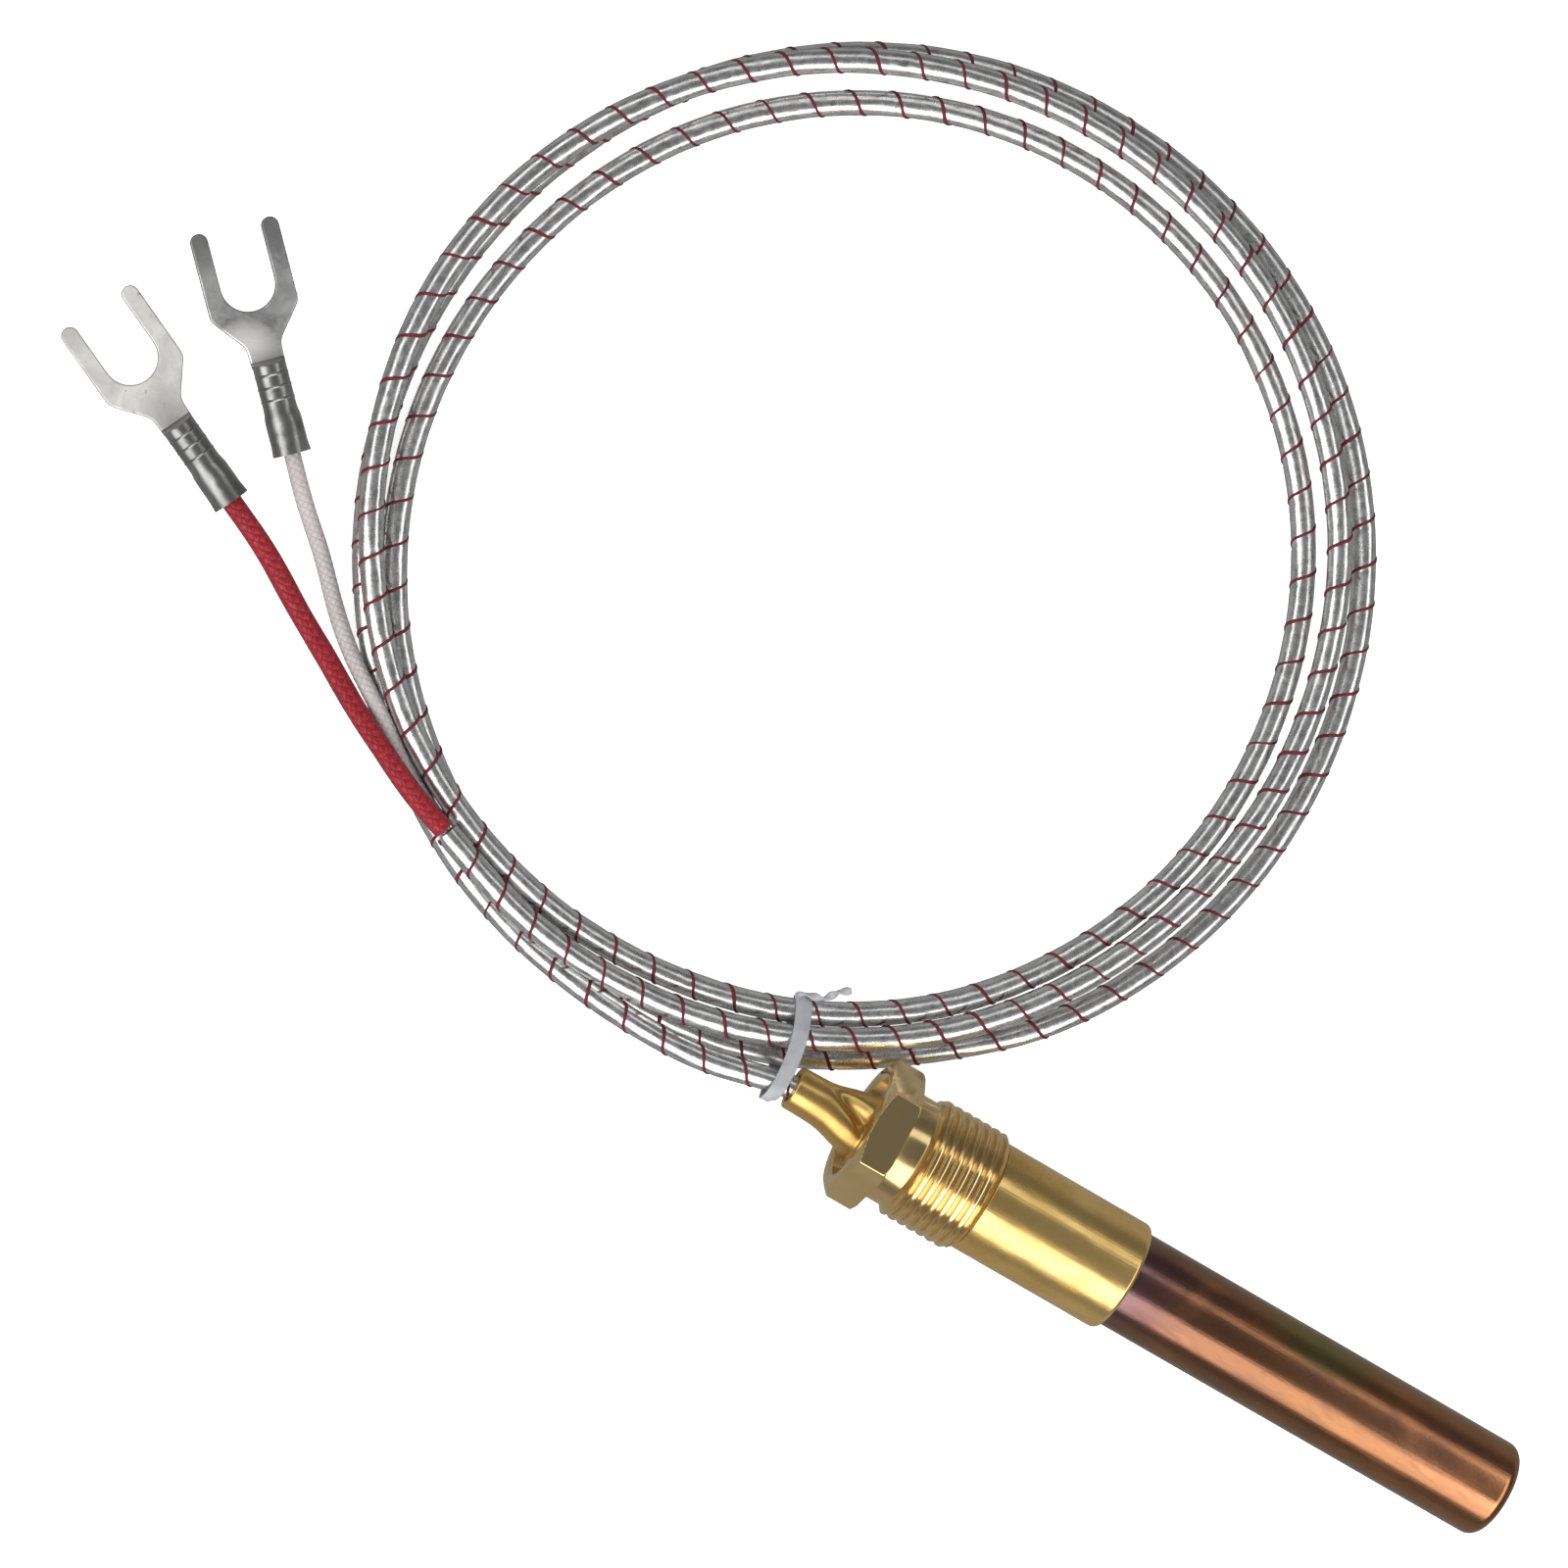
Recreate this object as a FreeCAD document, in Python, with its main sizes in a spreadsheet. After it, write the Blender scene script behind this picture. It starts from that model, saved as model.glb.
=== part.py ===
import FreeCAD, Part
import os
import math
from FreeCAD import Vector, Placement, Rotation

# Thermopile generator: a copper-sheathed probe with a brass sleeve and a captive
# attachment nut, a metal-foil covered lead laid in a three-turn coil, and two
# insulated leads ending in fork terminals.
#
# Frame: +X runs along the probe from the nut towards the closed tip, +Z is up.
# The origin is on the probe axis at the sleeve's shoulder, which the thread end
# of the nut bears on.  Everything rests on the plane z = -table_drop.
# "Behind" means towards -X.  Sizes are in millimetres and degrees.

# ---------------------------------------------------------------- driving dimensions
# alias, value, note
SIZES = [
    ("table_drop", 6.6, "probe axis above the surface the part lies on"),
    ("run_out", 1.0, "how far a drilling tool starts or ends outside the metal"),
    # protection tube
    ("tube_radius", 5.0, "outside radius"),
    ("tube_wall", 0.45, ""),
    ("tube_start", 0.9, "seat of the tube inside the sleeve"),
    ("tube_tip", 60.2, "outer face of the closed end"),
    ("tube_tip_wall", 0.7, ""),
    ("tube_tip_round", 1.3, ""),
    # brass sleeve and its spigot
    ("sleeve_radius", 5.7, ""),
    ("sleeve_length", 16.4, ""),
    ("sleeve_edge_round", 0.35, ""),
    ("spigot_radius", 4.80, "runs through the nut"),
    ("spigot_back", 12.4, "spigot reach behind the shoulder"),
    ("spigot_overlap", 0.5, "spigot reach into the sleeve"),
    ("spigot_bore", 3.9, "radius"),
    ("spigot_bore_end", 2.0, "bore reach past the shoulder, into the tube seat"),
    # attachment nut
    ("nut_flats", 13.1, "across flats"),
    ("nut_back", 13.7, "rear face behind the shoulder"),
    ("nut_hex_length", 3.5, ""),
    ("nut_corner_trim", 0.12, "taken off the hexagon's corner radius"),
    ("nut_corner_chamfer_first", 0.45, "first leg of the rear corner chamfer"),
    ("nut_corner_chamfer_second", 0.8, "second leg"),
    ("nut_relief_radius", 5.65, ""),
    ("nut_relief_length", 2.35, ""),
    ("nut_relief_rear_overlap", 0.2, "relief cylinder inside the hexagon"),
    ("nut_relief_front_overlap", 0.1, "relief cylinder inside the threaded shank"),
    ("nut_front_gap", 0.1, ""),
    ("nut_bore_radius", 4.88, ""),
    ("nut_counterbore_radius", 5.25, ""),
    ("nut_counterbore_depth", 1.6, ""),
    ("nut_bore_chamfer", 0.3, ""),
    ("nut_mouth_run_out", 0.5, "chamfer tool reach outside the rear face"),
    ("nut_turn", 9.4, "rest angle of the hexagon, degrees"),
    ("thread_radius", 6.35, ""),
    ("thread_pitch", 1.058, "24 threads per 25.4 mm"),
    ("thread_depth", 0.56, ""),
    ("thread_root_flat", 0.12, ""),
    ("thread_crest_margin", 0.13, "groove half width short of half a pitch"),
    ("thread_tool_rise", 0.12, "groove profile reach outside the crest"),
    ("thread_chamfer", 0.5, "at both ends of the shank"),
    # crimped rear cap
    ("cap_flange_radius", 4.7, ""),
    ("cap_flange_length", 0.4, ""),
    ("cap_shoulder", 13.4, "where the dome meets the taper"),
    ("cap_shoulder_radius", 3.12, ""),
    ("cap_neck_start", 18.0, ""),
    ("cap_neck_radius", 2.22, ""),
    ("cap_neck_end", 21.1, ""),
    ("cap_wall", 0.7, ""),
    ("cap_neck_bore", 1.42, "radius"),
    # ceramic former, liner and spacers
    ("core_radius", 2.2, "ceramic former"),
    ("core_start", 3.0, ""),
    ("core_length", 54.0, ""),
    ("liner_outer", 4.4, ""),
    ("liner_inner", 4.15, ""),
    ("liner_overhang", 1.5, "liner length beyond the former"),
    ("spacer_radius", 4.05, ""),
    ("spacer_length", 1.0, ""),
    ("front_spacer_at", 53.0, ""),
    ("rear_spacer_at", 7.0, ""),
    # thermoelements and junction beads
    ("element_circle", 3.1, "radius the elements stand on"),
    ("element_radius", 0.24, ""),
    ("element_start", 5.0, ""),
    ("element_length", 51.0, ""),
    ("bead_length", 0.5, "along the probe"),
    ("bead_width", 0.5, "radial"),
    ("bead_span", 1.25, "across two neighbouring elements"),
    # potting, splices and bare wire ends
    ("potting_start", 11.9, ""),
    ("potting_length", 3.0, ""),
    ("hole_clearance", 0.05, "radial, round elements and insulated wires"),
    ("wire_half_gap", 1.4, "half distance between the two wires in the sleeve"),
    ("splice_start", 8.2, ""),
    ("splice_length", 3.4, ""),
    ("splice_radius", 0.8, ""),
    ("splice_clearance", 0.02, "radial, round the bare wire"),
    ("bare_lead_in", 0.5, "bare wire behind the splice"),
    ("bare_length", 2.6, ""),
    # cable and leads
    ("sheath_radius", 1.22, "foil-covered cable outside radius"),
    ("sheath_bore", 1.02, "radius"),
    ("core_pair_radius", 0.9, "the two insulated wires and their wrap"),
    ("cable_half_gap", 0.45, "half distance between the two cores in the cable"),
    ("core_insulation_radius", 0.40, ""),
    ("wire_radius", 0.19, ""),
    ("conductor_extra", 0.05, "lead conductor radius over the wire's"),
    ("red_sleeve_radius", 1.02, ""),
    ("white_sleeve_radius", 0.83, ""),
    ("sleeve_bore_radius", 0.42, ""),
    ("tie_width", 1.5, ""),
    ("tie_thickness", 0.3, ""),
    ("tie_clearance", 0.12, ""),
    ("tie_table_gap", 0.02, "least height of the tie above the table"),
    # fork terminals, measured from the wire end of the barrel
    ("fork_slot_radius", 2.6, "M5 or number 10 stud"),
    ("fork_half_width", 4.3, ""),
    ("fork_thickness", 0.8, ""),
    ("fork_slot_centre", 16.5, "centre of the slot's round end"),
    ("fork_slot_tool_length", 12.0, "runs out past the tips"),
    ("fork_slot_tool_height", 6.0, "runs out above and below the plate"),
    ("fork_tip", 22.2, ""),
    ("fork_plate_start", 13.2, ""),
    ("fork_neck_start", 9.3, ""),
    ("fork_neck_overlap", 1.5, "neck reach back under the barrel"),
    ("fork_neck_half_width", 1.75, ""),
    ("fork_shoulder_start", 0.8, "start of the widening after the neck's start"),
    ("fork_shoulder_end", 0.9, "full width reached after the plate's start"),
    ("fork_barrel_length", 9.6, ""),
    ("fork_barrel_radius", 1.62, ""),
    ("fork_barrel_bore", 1.1, "radius"),
    ("fork_barrel_end_wall", 1.6, "solid length at the plate end"),
    ("fork_flare_length", 1.6, ""),
    ("fork_flare_radius", 1.85, ""),
    ("fork_crimp_depth", 0.14, ""),
    ("fork_crimp_rise", 0.2, "crimp ring centre outside the barrel surface"),
    ("fork_crimp_start", 5.7, ""),
    ("fork_crimp_pitch", 1.2, ""),
    ("fork_axis_above_table", 1.9, ""),
]
ELEMENT_COUNT = 24
ELEMENT_STEP = 360 // ELEMENT_COUNT
PAIR_COUNT = ELEMENT_COUNT // 2
THREAD_GROOVES = 6
FORK_CRIMPS = 3

# Cable axis as (x, y, z): first point inside the crimped neck, last point at the
# sheath's free end.
LAY = [
    (-17.60, 0.00, 0.00), (-21.10, -0.06, 0.00), (-27.90, -1.57, -0.24),
    (-38.79, -2.28, -1.43), (-49.52, -0.97, -3.39), (-59.81, 2.56, -4.86),
    (-69.09, 8.40, -5.29), (-76.92, 16.10, -5.30), (-83.01, 25.23, -5.30),
    (-86.86, 35.51, -5.30), (-88.28, 46.40, -5.30), (-87.25, 57.33, -5.30),
    (-83.80, 67.75, -5.30), (-78.07, 77.12, -5.30), (-70.36, 84.93, -5.30),
    (-61.10, 90.82, -5.30), (-50.74, 94.45, -5.30), (-39.82, 95.68, -5.30),
    (-28.90, 94.54, -5.30), (-18.51, 91.02, -5.30), (-9.17, 85.25, -5.30),
    (-1.37, 77.51, -5.30), (4.45, 68.21, -5.30), (8.00, 57.82, -5.30),
    (9.12, 46.90, -5.30), (7.74, 36.01, -5.29), (3.89, 25.73, -5.15),
    (-2.18, 16.59, -5.22), (-10.28, 9.42, -5.30), (-19.55, 3.50, -4.62),
    (-30.00, -0.01, -4.76), (-40.92, -0.49, -5.28), (-51.63, 1.94, -5.30),
    (-61.66, 6.42, -5.30), (-70.47, 12.97, -5.30), (-77.52, 21.38, -5.30),
    (-82.36, 31.23, -5.30), (-84.59, 41.98, -5.30), (-84.16, 52.94, -5.30),
    (-81.19, 63.51, -5.30), (-75.77, 73.05, -5.30), (-68.15, 80.95, -5.30),
    (-58.83, 86.74, -5.30), (-48.37, 90.05, -5.30), (-37.41, 90.61, -5.30),
    (-26.64, 88.50, -5.30), (-16.77, 83.72, -5.30), (-8.40, 76.62, -5.30),
    (-2.06, 67.66, -5.29), (1.81, 57.39, -5.17), (3.07, 46.49, -4.96),
    (1.60, 35.63, -4.66), (-2.59, 25.49, -4.25), (-9.06, 16.64, -3.69),
    (-17.53, 9.69, -3.22), (-27.49, 5.08, -3.10), (-38.26, 2.95, -3.02),
    (-49.24, 3.11, -2.74), (-59.86, 5.86, -2.65), (-69.58, 10.96, -2.67),
    (-77.67, 18.37, -2.70), (-83.79, 27.48, -2.70), (-87.70, 37.74, -2.70),
    (-89.06, 48.63, -2.70), (-87.56, 59.50, -2.70), (-83.36, 69.63, -2.70),
    (-76.86, 78.49, -2.70), (-68.56, 85.67, -2.70), (-58.82, 90.73, -2.70),
    (-48.21, 93.57, -2.77), (-37.24, 93.95, -2.86), (-26.46, 91.86, -2.98),
    (-16.45, 87.37, -3.11), (-7.83, 80.58, -3.20), (-0.97, 72.01, -3.29),
    (3.57, 62.02, -3.39), (5.68, 51.25, -3.40), (5.17, 40.28, -3.23),
    (2.15, 29.74, -2.83), (-3.15, 20.14, -2.36), (-10.55, 12.04, -1.95),
    (-19.64, 5.90, -1.61), (-29.86, 1.90, -1.25), (-40.73, 0.32, -1.01),
    (-51.66, 1.19, -1.14), (-62.14, 4.47, -1.24),
]
# Lead axes as (x, y, z), from the cable towards the fork.
RED = [
    (-62.48, 4.51, -0.35), (-66.84, 6.04, -0.83), (-71.24, 8.09, -1.55),
    (-75.52, 10.26, -3.10), (-80.10, 12.91, -4.48), (-84.75, 15.53, -5.25),
    (-89.59, 18.41, -5.30),
]
WHITE = [
    (-63.04, 4.92, -3.04), (-66.08, 6.38, -3.12), (-69.40, 8.31, -3.18),
    (-72.57, 10.59, -3.28), (-75.51, 12.53, -3.64), (-78.66, 14.75, -4.50),
    (-82.05, 17.75, -5.23), (-85.47, 21.19, -5.51), (-89.28, 24.60, -5.25),
]
ROUTES = {"lay": LAY, "red": RED, "white": WHITE}
# Wire end of each fork's barrel as x, y, and the heading of the fork about +Z.
FORKS = {"red": (-95.35, 21.20, 155.4), "white": (-92.71, 28.00, 134.9)}

cells = list(SIZES)
for name, points in ROUTES.items():
    for number, point in enumerate(points, 1):
        for axis, value in zip("xyz", point):
            cells.append(("%s_%s_%02d" % (name, axis, number), value, ""))
for name, place in FORKS.items():
    for field, value in zip(("x", "y", "turn"), place):
        cells.append(("%s_fork_%s" % (name, field), value, ""))

doc = FreeCAD.newDocument("thermopile_generator")
sheet = doc.addObject("Spreadsheet::Sheet", "sizes")
for row, (alias, value, note) in enumerate(cells, 1):
    sheet.set("A%d" % row, alias)
    sheet.set("B%d" % row, repr(value))
    sheet.set("C%d" % row, note)
    sheet.setAlias("B%d" % row, alias)
doc.recompute()

pieces = []
X_AXIS = Rotation(Vector(0, 1, 0), 90)  # turns a primitive's own Z onto +X


# ---------------------------------------------------------------- helpers
def size(alias):
    return float(getattr(sheet, alias))


def route(name):
    return [Vector(*[size("%s_%s_%02d" % (name, axis, number)) for axis in "xyz"])
            for number in range(1, len(ROUTES[name]) + 1)]


def bind(obj, **formulas):
    """Bind properties to formulas; a double underscore stands for a dot."""
    for prop, formula in formulas.items():
        obj.setExpression(prop.replace("__", "."), formula)


def along_x(kind, name, start, **formulas):
    obj = doc.addObject("Part::" + kind, name)
    obj.Placement = Placement(Vector(0, 0, 0), X_AXIS)
    bind(obj, Placement__Base__x=start, **formulas)
    return obj


def cylinder(name, radius, start, length, y="0", z="0"):
    return along_x("Cylinder", name, start, Radius=radius, Height=length,
                   Placement__Base__y=y, Placement__Base__z=z)


def cone(name, start_radius, end_radius, start, length):
    return along_x("Cone", name, start, Radius1=start_radius, Radius2=end_radius,
                   Height=length)


def cut(name, base, tool):
    obj = doc.addObject("Part::Cut", name)
    obj.Base = base
    obj.Tool = tool
    return obj


def fuse(name, *shapes):
    obj = doc.addObject("Part::MultiFuse", name)
    obj.Shapes = list(shapes)
    obj.Refine = True
    return obj


def compound(name, shapes):
    obj = doc.addObject("Part::Compound", name)
    obj.Links = list(shapes)
    return obj


def rim_edges(shape, radius, x, tolerance=1e-3):
    """Numbers of the circular edges of this radius centred at this x."""
    found = []
    for number, edge in enumerate(shape.Edges, 1):
        curve = edge.Curve
        if (isinstance(curve, Part.Circle) and abs(curve.Radius - radius) < tolerance
                and abs(curve.Center.x - x) < tolerance):
            found.append(number)
    return found


def treat_rims(kind, name, base, radius, stations, first, second):
    """Fillet or chamfer the rims of a cylinder at the given x stations."""
    doc.recompute()
    obj = doc.addObject("Part::" + kind, name)
    obj.Base = base
    obj.Edges = [(number, first, second) for x in stations
                 for number in rim_edges(base.Shape, radius, x)]
    return obj


def keep(obj, label):
    obj.Label = label
    pieces.append(obj)


# ---------------------------------------------------------------- metal shells
def protection_tube():
    outer = cylinder("tube_out", "sizes.tube_radius", "sizes.tube_start",
                     "sizes.tube_tip - sizes.tube_start")
    tip_round = size("tube_tip_round")
    rounded = treat_rims("Fillet", "tube_round", outer, size("tube_radius"),
                         [size("tube_tip")], tip_round, tip_round)
    inner = cylinder("tube_in", "sizes.tube_radius - sizes.tube_wall", "sizes.tube_start",
                     "sizes.tube_tip - sizes.tube_start - sizes.tube_tip_wall")
    keep(cut("tube_node", rounded, inner), "protection_tube")


def brass_sleeve():
    outer = cylinder("sleeve_out", "sizes.sleeve_radius", "0", "sizes.sleeve_length")
    edge_round = size("sleeve_edge_round")
    rounded = treat_rims("Fillet", "sleeve_round", outer, size("sleeve_radius"),
                         [size("sleeve_length")], edge_round, edge_round)
    spigot = cylinder("spigot_out", "sizes.spigot_radius", "-sizes.spigot_back",
                      "sizes.spigot_back + sizes.spigot_overlap")
    solid = fuse("sleeve_solid", rounded, spigot)
    tube_seat = cylinder("sleeve_bore", "sizes.tube_radius", "sizes.tube_start",
                         "sizes.sleeve_length")
    bore = cylinder("spigot_bore", "sizes.spigot_bore", "-sizes.spigot_back - sizes.run_out",
                    "sizes.spigot_back + sizes.run_out + sizes.spigot_bore_end")
    keep(cut("sleeve_node", solid, fuse("sleeve_cuts", tube_seat, bore)), "brass_sleeve")


def crimped_rear_cap():
    taper_length = "sizes.cap_neck_start - sizes.cap_shoulder"
    solid = fuse(
        "cap_solid",
        cylinder("cap_flange", "sizes.cap_flange_radius",
                 "-sizes.spigot_back - sizes.cap_flange_length", "sizes.cap_flange_length"),
        cone("cap_dome", "sizes.cap_shoulder_radius", "sizes.cap_flange_radius",
             "-sizes.cap_shoulder",
             "sizes.cap_shoulder - sizes.spigot_back - sizes.cap_flange_length"),
        cone("cap_taper", "sizes.cap_neck_radius", "sizes.cap_shoulder_radius",
             "-sizes.cap_neck_start", taper_length),
        cylinder("cap_neck", "sizes.cap_neck_radius", "-sizes.cap_neck_end",
                 "sizes.cap_neck_end - sizes.cap_neck_start"))
    inner_shoulder = "sizes.cap_shoulder_radius - sizes.cap_wall"
    hollow = fuse(
        "cap_hollow",
        cone("cap_hollow_dome", inner_shoulder, "sizes.cap_flange_radius - sizes.cap_wall",
             "-sizes.cap_shoulder", "sizes.cap_shoulder - sizes.spigot_back"),
        cone("cap_hollow_taper", "sizes.cap_neck_bore", inner_shoulder,
             "-sizes.cap_neck_start", taper_length),
        cylinder("cap_hollow_neck", "sizes.cap_neck_bore",
                 "-sizes.cap_neck_end - sizes.run_out",
                 "sizes.cap_neck_end + sizes.run_out - sizes.cap_neck_start"))
    keep(cut("cap_node", solid, hollow), "crimped_rear_cap")


# ---------------------------------------------------------------- probe interior
def former_and_liner():
    keep(cylinder("core_node", "sizes.core_radius", "sizes.core_start", "sizes.core_length"),
         "ceramic_former")
    liner_length = "sizes.core_length + sizes.liner_overhang"
    outer = cylinder("liner_out", "sizes.liner_outer", "sizes.core_start", liner_length)
    inner = cylinder("liner_in", "sizes.liner_inner", "sizes.core_start - sizes.run_out",
                     liner_length + " + 2 * sizes.run_out")
    keep(cut("liner_node", outer, inner), "mica_liner")


def element(name, index, radius, start, length):
    angle = index * ELEMENT_STEP
    return cylinder(name, radius, start, length,
                    y="sizes.element_circle * cos(%d deg)" % angle,
                    z="sizes.element_circle * sin(%d deg)" % angle)


def spacer(label):
    start = "sizes.%s_at" % label
    disc = cylinder(label + "_disc", "sizes.spacer_radius", start, "sizes.spacer_length")
    hole_start = start + " - sizes.run_out"
    hole_length = "sizes.spacer_length + 2 * sizes.run_out"
    holes = [cylinder(label + "_centre", "sizes.core_radius", hole_start, hole_length)]
    for index in range(ELEMENT_COUNT):
        holes.append(element("%s_hole_%02d" % (label, index), index,
                             "sizes.element_radius + sizes.hole_clearance",
                             hole_start, hole_length))
    keep(cut(label + "_node", disc, fuse(label + "_holes", *holes)), label)


def elements(label, first):
    """Every second element round the circle, starting with the given one."""
    rods = [element("%s_%02d" % (label, index), index, "sizes.element_radius",
                    "sizes.element_start", "sizes.element_length")
            for index in range(first, ELEMENT_COUNT, 2)]
    keep(compound(label + "_node", rods), label)


def bead(name, angle, start):
    """Box tangent to the element circle, spanning two neighbouring elements."""
    obj = doc.addObject("Part::Box", name)
    obj.Placement = Placement(Vector(0, 0, 0), Rotation(Vector(1, 0, 0), angle))
    inner = "(sizes.element_circle - sizes.bead_width / 2)"
    bind(obj, Length="sizes.bead_length", Width="sizes.bead_width", Height="sizes.bead_span",
         Placement__Base__x=start,
         Placement__Base__y="%s * cos(%g deg) + sizes.bead_span / 2 * sin(%g deg)"
         % (inner, angle, angle),
         Placement__Base__z="%s * sin(%g deg) - sizes.bead_span / 2 * cos(%g deg)"
         % (inner, angle, angle))
    return obj


def junction_beads(side, count, first_gap, start):
    """Beads in every second gap between elements, starting at first_gap."""
    beads = [bead("%s_bead_%02d" % (side, index),
                  ELEMENT_STEP * (2 * index + first_gap + 0.5), start)
             for index in range(count)]
    keep(compound(side + "_beads_node", beads), side + "_junction_beads")


def splice(label, y):
    outer = cylinder(label + "_out", "sizes.splice_radius", "-sizes.splice_start",
                     "sizes.splice_length", y=y)
    inner = cylinder(label + "_in", "sizes.wire_radius + sizes.splice_clearance",
                     "-sizes.splice_start - sizes.run_out",
                     "sizes.splice_length + 2 * sizes.run_out", y=y)
    keep(cut(label + "_node", outer, inner), label)


def ceramic_potting():
    disc = cylinder("pot_disc", "sizes.spigot_bore", "-sizes.potting_start",
                    "sizes.potting_length")
    holes = [cylinder("pot_hole_%d" % index,
                      "sizes.core_insulation_radius + sizes.hole_clearance",
                      "-sizes.potting_start - sizes.run_out",
                      "sizes.potting_length + 2 * sizes.run_out",
                      y=sign + "sizes.wire_half_gap")
             for index, sign in enumerate(("", "-"))]
    keep(cut("pot_node", disc, fuse("pot_holes", *holes)), "ceramic_potting")


# ---------------------------------------------------------------- swept cables
SPAN_LENGTH = 45.0  # target length of one spine edge
SEW_TOLERANCE = 1e-4
FIX_TOLERANCE = 1e-5


def spline(name, points):
    """Smooth spine, split into short edges so that every swept face stays short."""
    curve = Part.BSplineCurve()
    curve.interpolate(points)
    spans = max(1, int(round(curve.length() / SPAN_LENGTH)))
    marks = [curve.parameterAtDistance(curve.length() * i / spans, curve.FirstParameter)
             for i in range(spans)]
    marks.append(curve.LastParameter)
    obj = doc.addObject("Part::Feature", name)
    obj.Shape = Part.Wire([curve.toShape(a, b) for a, b in zip(marks[:-1], marks[1:])])
    return obj


def sweep(name, spine, radius):
    edge = spine.Shape.Edges[0]
    start = edge.valueAt(edge.FirstParameter)
    tangent = edge.tangentAt(edge.FirstParameter)
    ring = doc.addObject("Part::Circle", name + "_ring")
    bind(ring, Radius=radius)
    ring.Placement = Placement(start, Rotation(Vector(0, 0, 1), tangent))
    obj = doc.addObject("Part::Sweep", name)
    obj.Sections = [ring]
    obj.Spine = (spine, ["Edge%d" % (i + 1) for i in range(len(spine.Shape.Edges))])
    obj.Solid = True
    obj.Frenet = False
    return obj


def hollow_sweep(name, outer, inner):
    """Closed tube from the walls of two sweeps on one spine and two flat end rings."""
    doc.recompute()
    walls = []
    caps = []
    for swept in (outer, inner):
        faces = swept.Shape.Faces
        walls += [face for face in faces if not isinstance(face.Surface, Part.Plane)]
        caps.append([face for face in faces if isinstance(face.Surface, Part.Plane)])
    end_rings = []
    for cap in caps[0]:
        mate = min(caps[1], key=lambda face: (face.CenterOfMass - cap.CenterOfMass).Length)
        end_rings += cap.cut(mate).Faces
    shell = Part.makeShell(walls + end_rings)
    shell.sewShape(SEW_TOLERANCE)
    # sewing may wrap the shell in another shape
    if shell.ShapeType != "Shell":
        shell = shell.Shells[0]
    solid = Part.Solid(shell)
    if solid.Volume < 0:
        solid.reverse()
    # the healed copy is taken only where it is still one valid solid
    healed = solid.copy()
    healed.fix(FIX_TOLERANCE, FIX_TOLERANCE, SEW_TOLERANCE)
    if healed.isValid() and len(healed.Solids) == 1:
        solid = healed.Solids[0]
    obj = doc.addObject("Part::Feature", name)
    obj.Shape = solid
    return obj


def cable():
    spine = spline("lay_spine", route("lay"))
    outer = sweep("sheath_out", spine, "sizes.sheath_radius")
    inner = sweep("sheath_in", spine, "sizes.sheath_bore")
    keep(hollow_sweep("sheath_node", outer, inner), "cable_sheath")
    keep(sweep("core_pair_node", spine, "sizes.core_pair_radius"), "insulated_core_pair")


def core_tail(label, side):
    """One insulated core from the cable to its splice, on the +Y (1) or -Y (-1) side."""
    cable_gap = size("cable_half_gap")
    wire_gap = size("wire_half_gap")
    # x, distance from the probe axis
    stations = [
        (-(size("splice_start") + size("bare_lead_in")), wire_gap),
        (-10.0, wire_gap),
        (-12.6, wire_gap - 0.02),
        (-15.2, cable_gap + 0.38),
        (size("lay_x_01") + 0.1, cable_gap),
    ]
    spine = spline(label + "_tail_spine", [Vector(x, side * y, 0) for x, y in stations])
    keep(sweep(label + "_tail_node", spine, "sizes.core_insulation_radius"),
         label + "_core_tail")
    keep(cylinder(label + "_bare", "sizes.wire_radius",
                  "-sizes.splice_start - sizes.bare_lead_in", "sizes.bare_length",
                  y=("" if side > 0 else "-") + "sizes.wire_half_gap"),
         label + "_bare_end")


# ---------------------------------------------------------------- tie round the coil
TIE_CENTRE = Vector(-23.775, 2.886, 0)
TIE_ALONG = Vector(0.3618, -0.9322, 0)  # u direction of the tie's plane
TIE_ACROSS = Vector(-TIE_ALONG.y, TIE_ALONG.x, 0)
# centres (u, z) of the sheath-sized circles the band wraps
TIE_CIRCLES = [(3.29, -0.04), (3.58, -0.01), (1.07, -4.57),
               (-3.31, -3.11), (-0.99, -1.42), (-1.02, -1.48)]
CIRCLE_POINTS = 48
TAIL_SIZE = (4.4, 0.5, 1.5)  # flat bar at the band's -u side
TAIL_U = -4.64
TAIL_Z = -2.9
TAIL_TURN = 33  # from TIE_ACROSS, about +Z


def half_hull(points):
    chain = []
    for point in points:
        while len(chain) >= 2:
            (u0, z0), (u1, z1) = chain[-2:]
            if (u1 - u0) * (point[1] - z0) - (z1 - z0) * (point[0] - u0) > 0:
                break
            chain.pop()
        chain.append(point)
    return chain[:-1]


def tie_block(grow):
    """Solid block inside the taut outline round the circles, grown by an offset."""
    radius = size("sheath_radius") + size("tie_clearance") + grow
    points = set()
    for u, z in TIE_CIRCLES:
        for k in range(CIRCLE_POINTS):
            angle = 2 * math.pi * k / CIRCLE_POINTS
            points.add((round(u + radius * math.cos(angle), 5),
                        round(z + radius * math.sin(angle), 5)))
    points = sorted(points)
    outline = half_hull(points) + half_hull(points[::-1])
    base = TIE_CENTRE - TIE_ACROSS * (size("tie_width") / 2)
    lowest = -size("table_drop") + size("tie_table_gap")
    loop = [base + TIE_ALONG * u + Vector(0, 0, max(z, lowest)) for u, z in outline]
    loop.append(loop[0])
    return Part.Face(Part.makePolygon(loop)).extrude(TIE_ACROSS * size("tie_width"))


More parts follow.
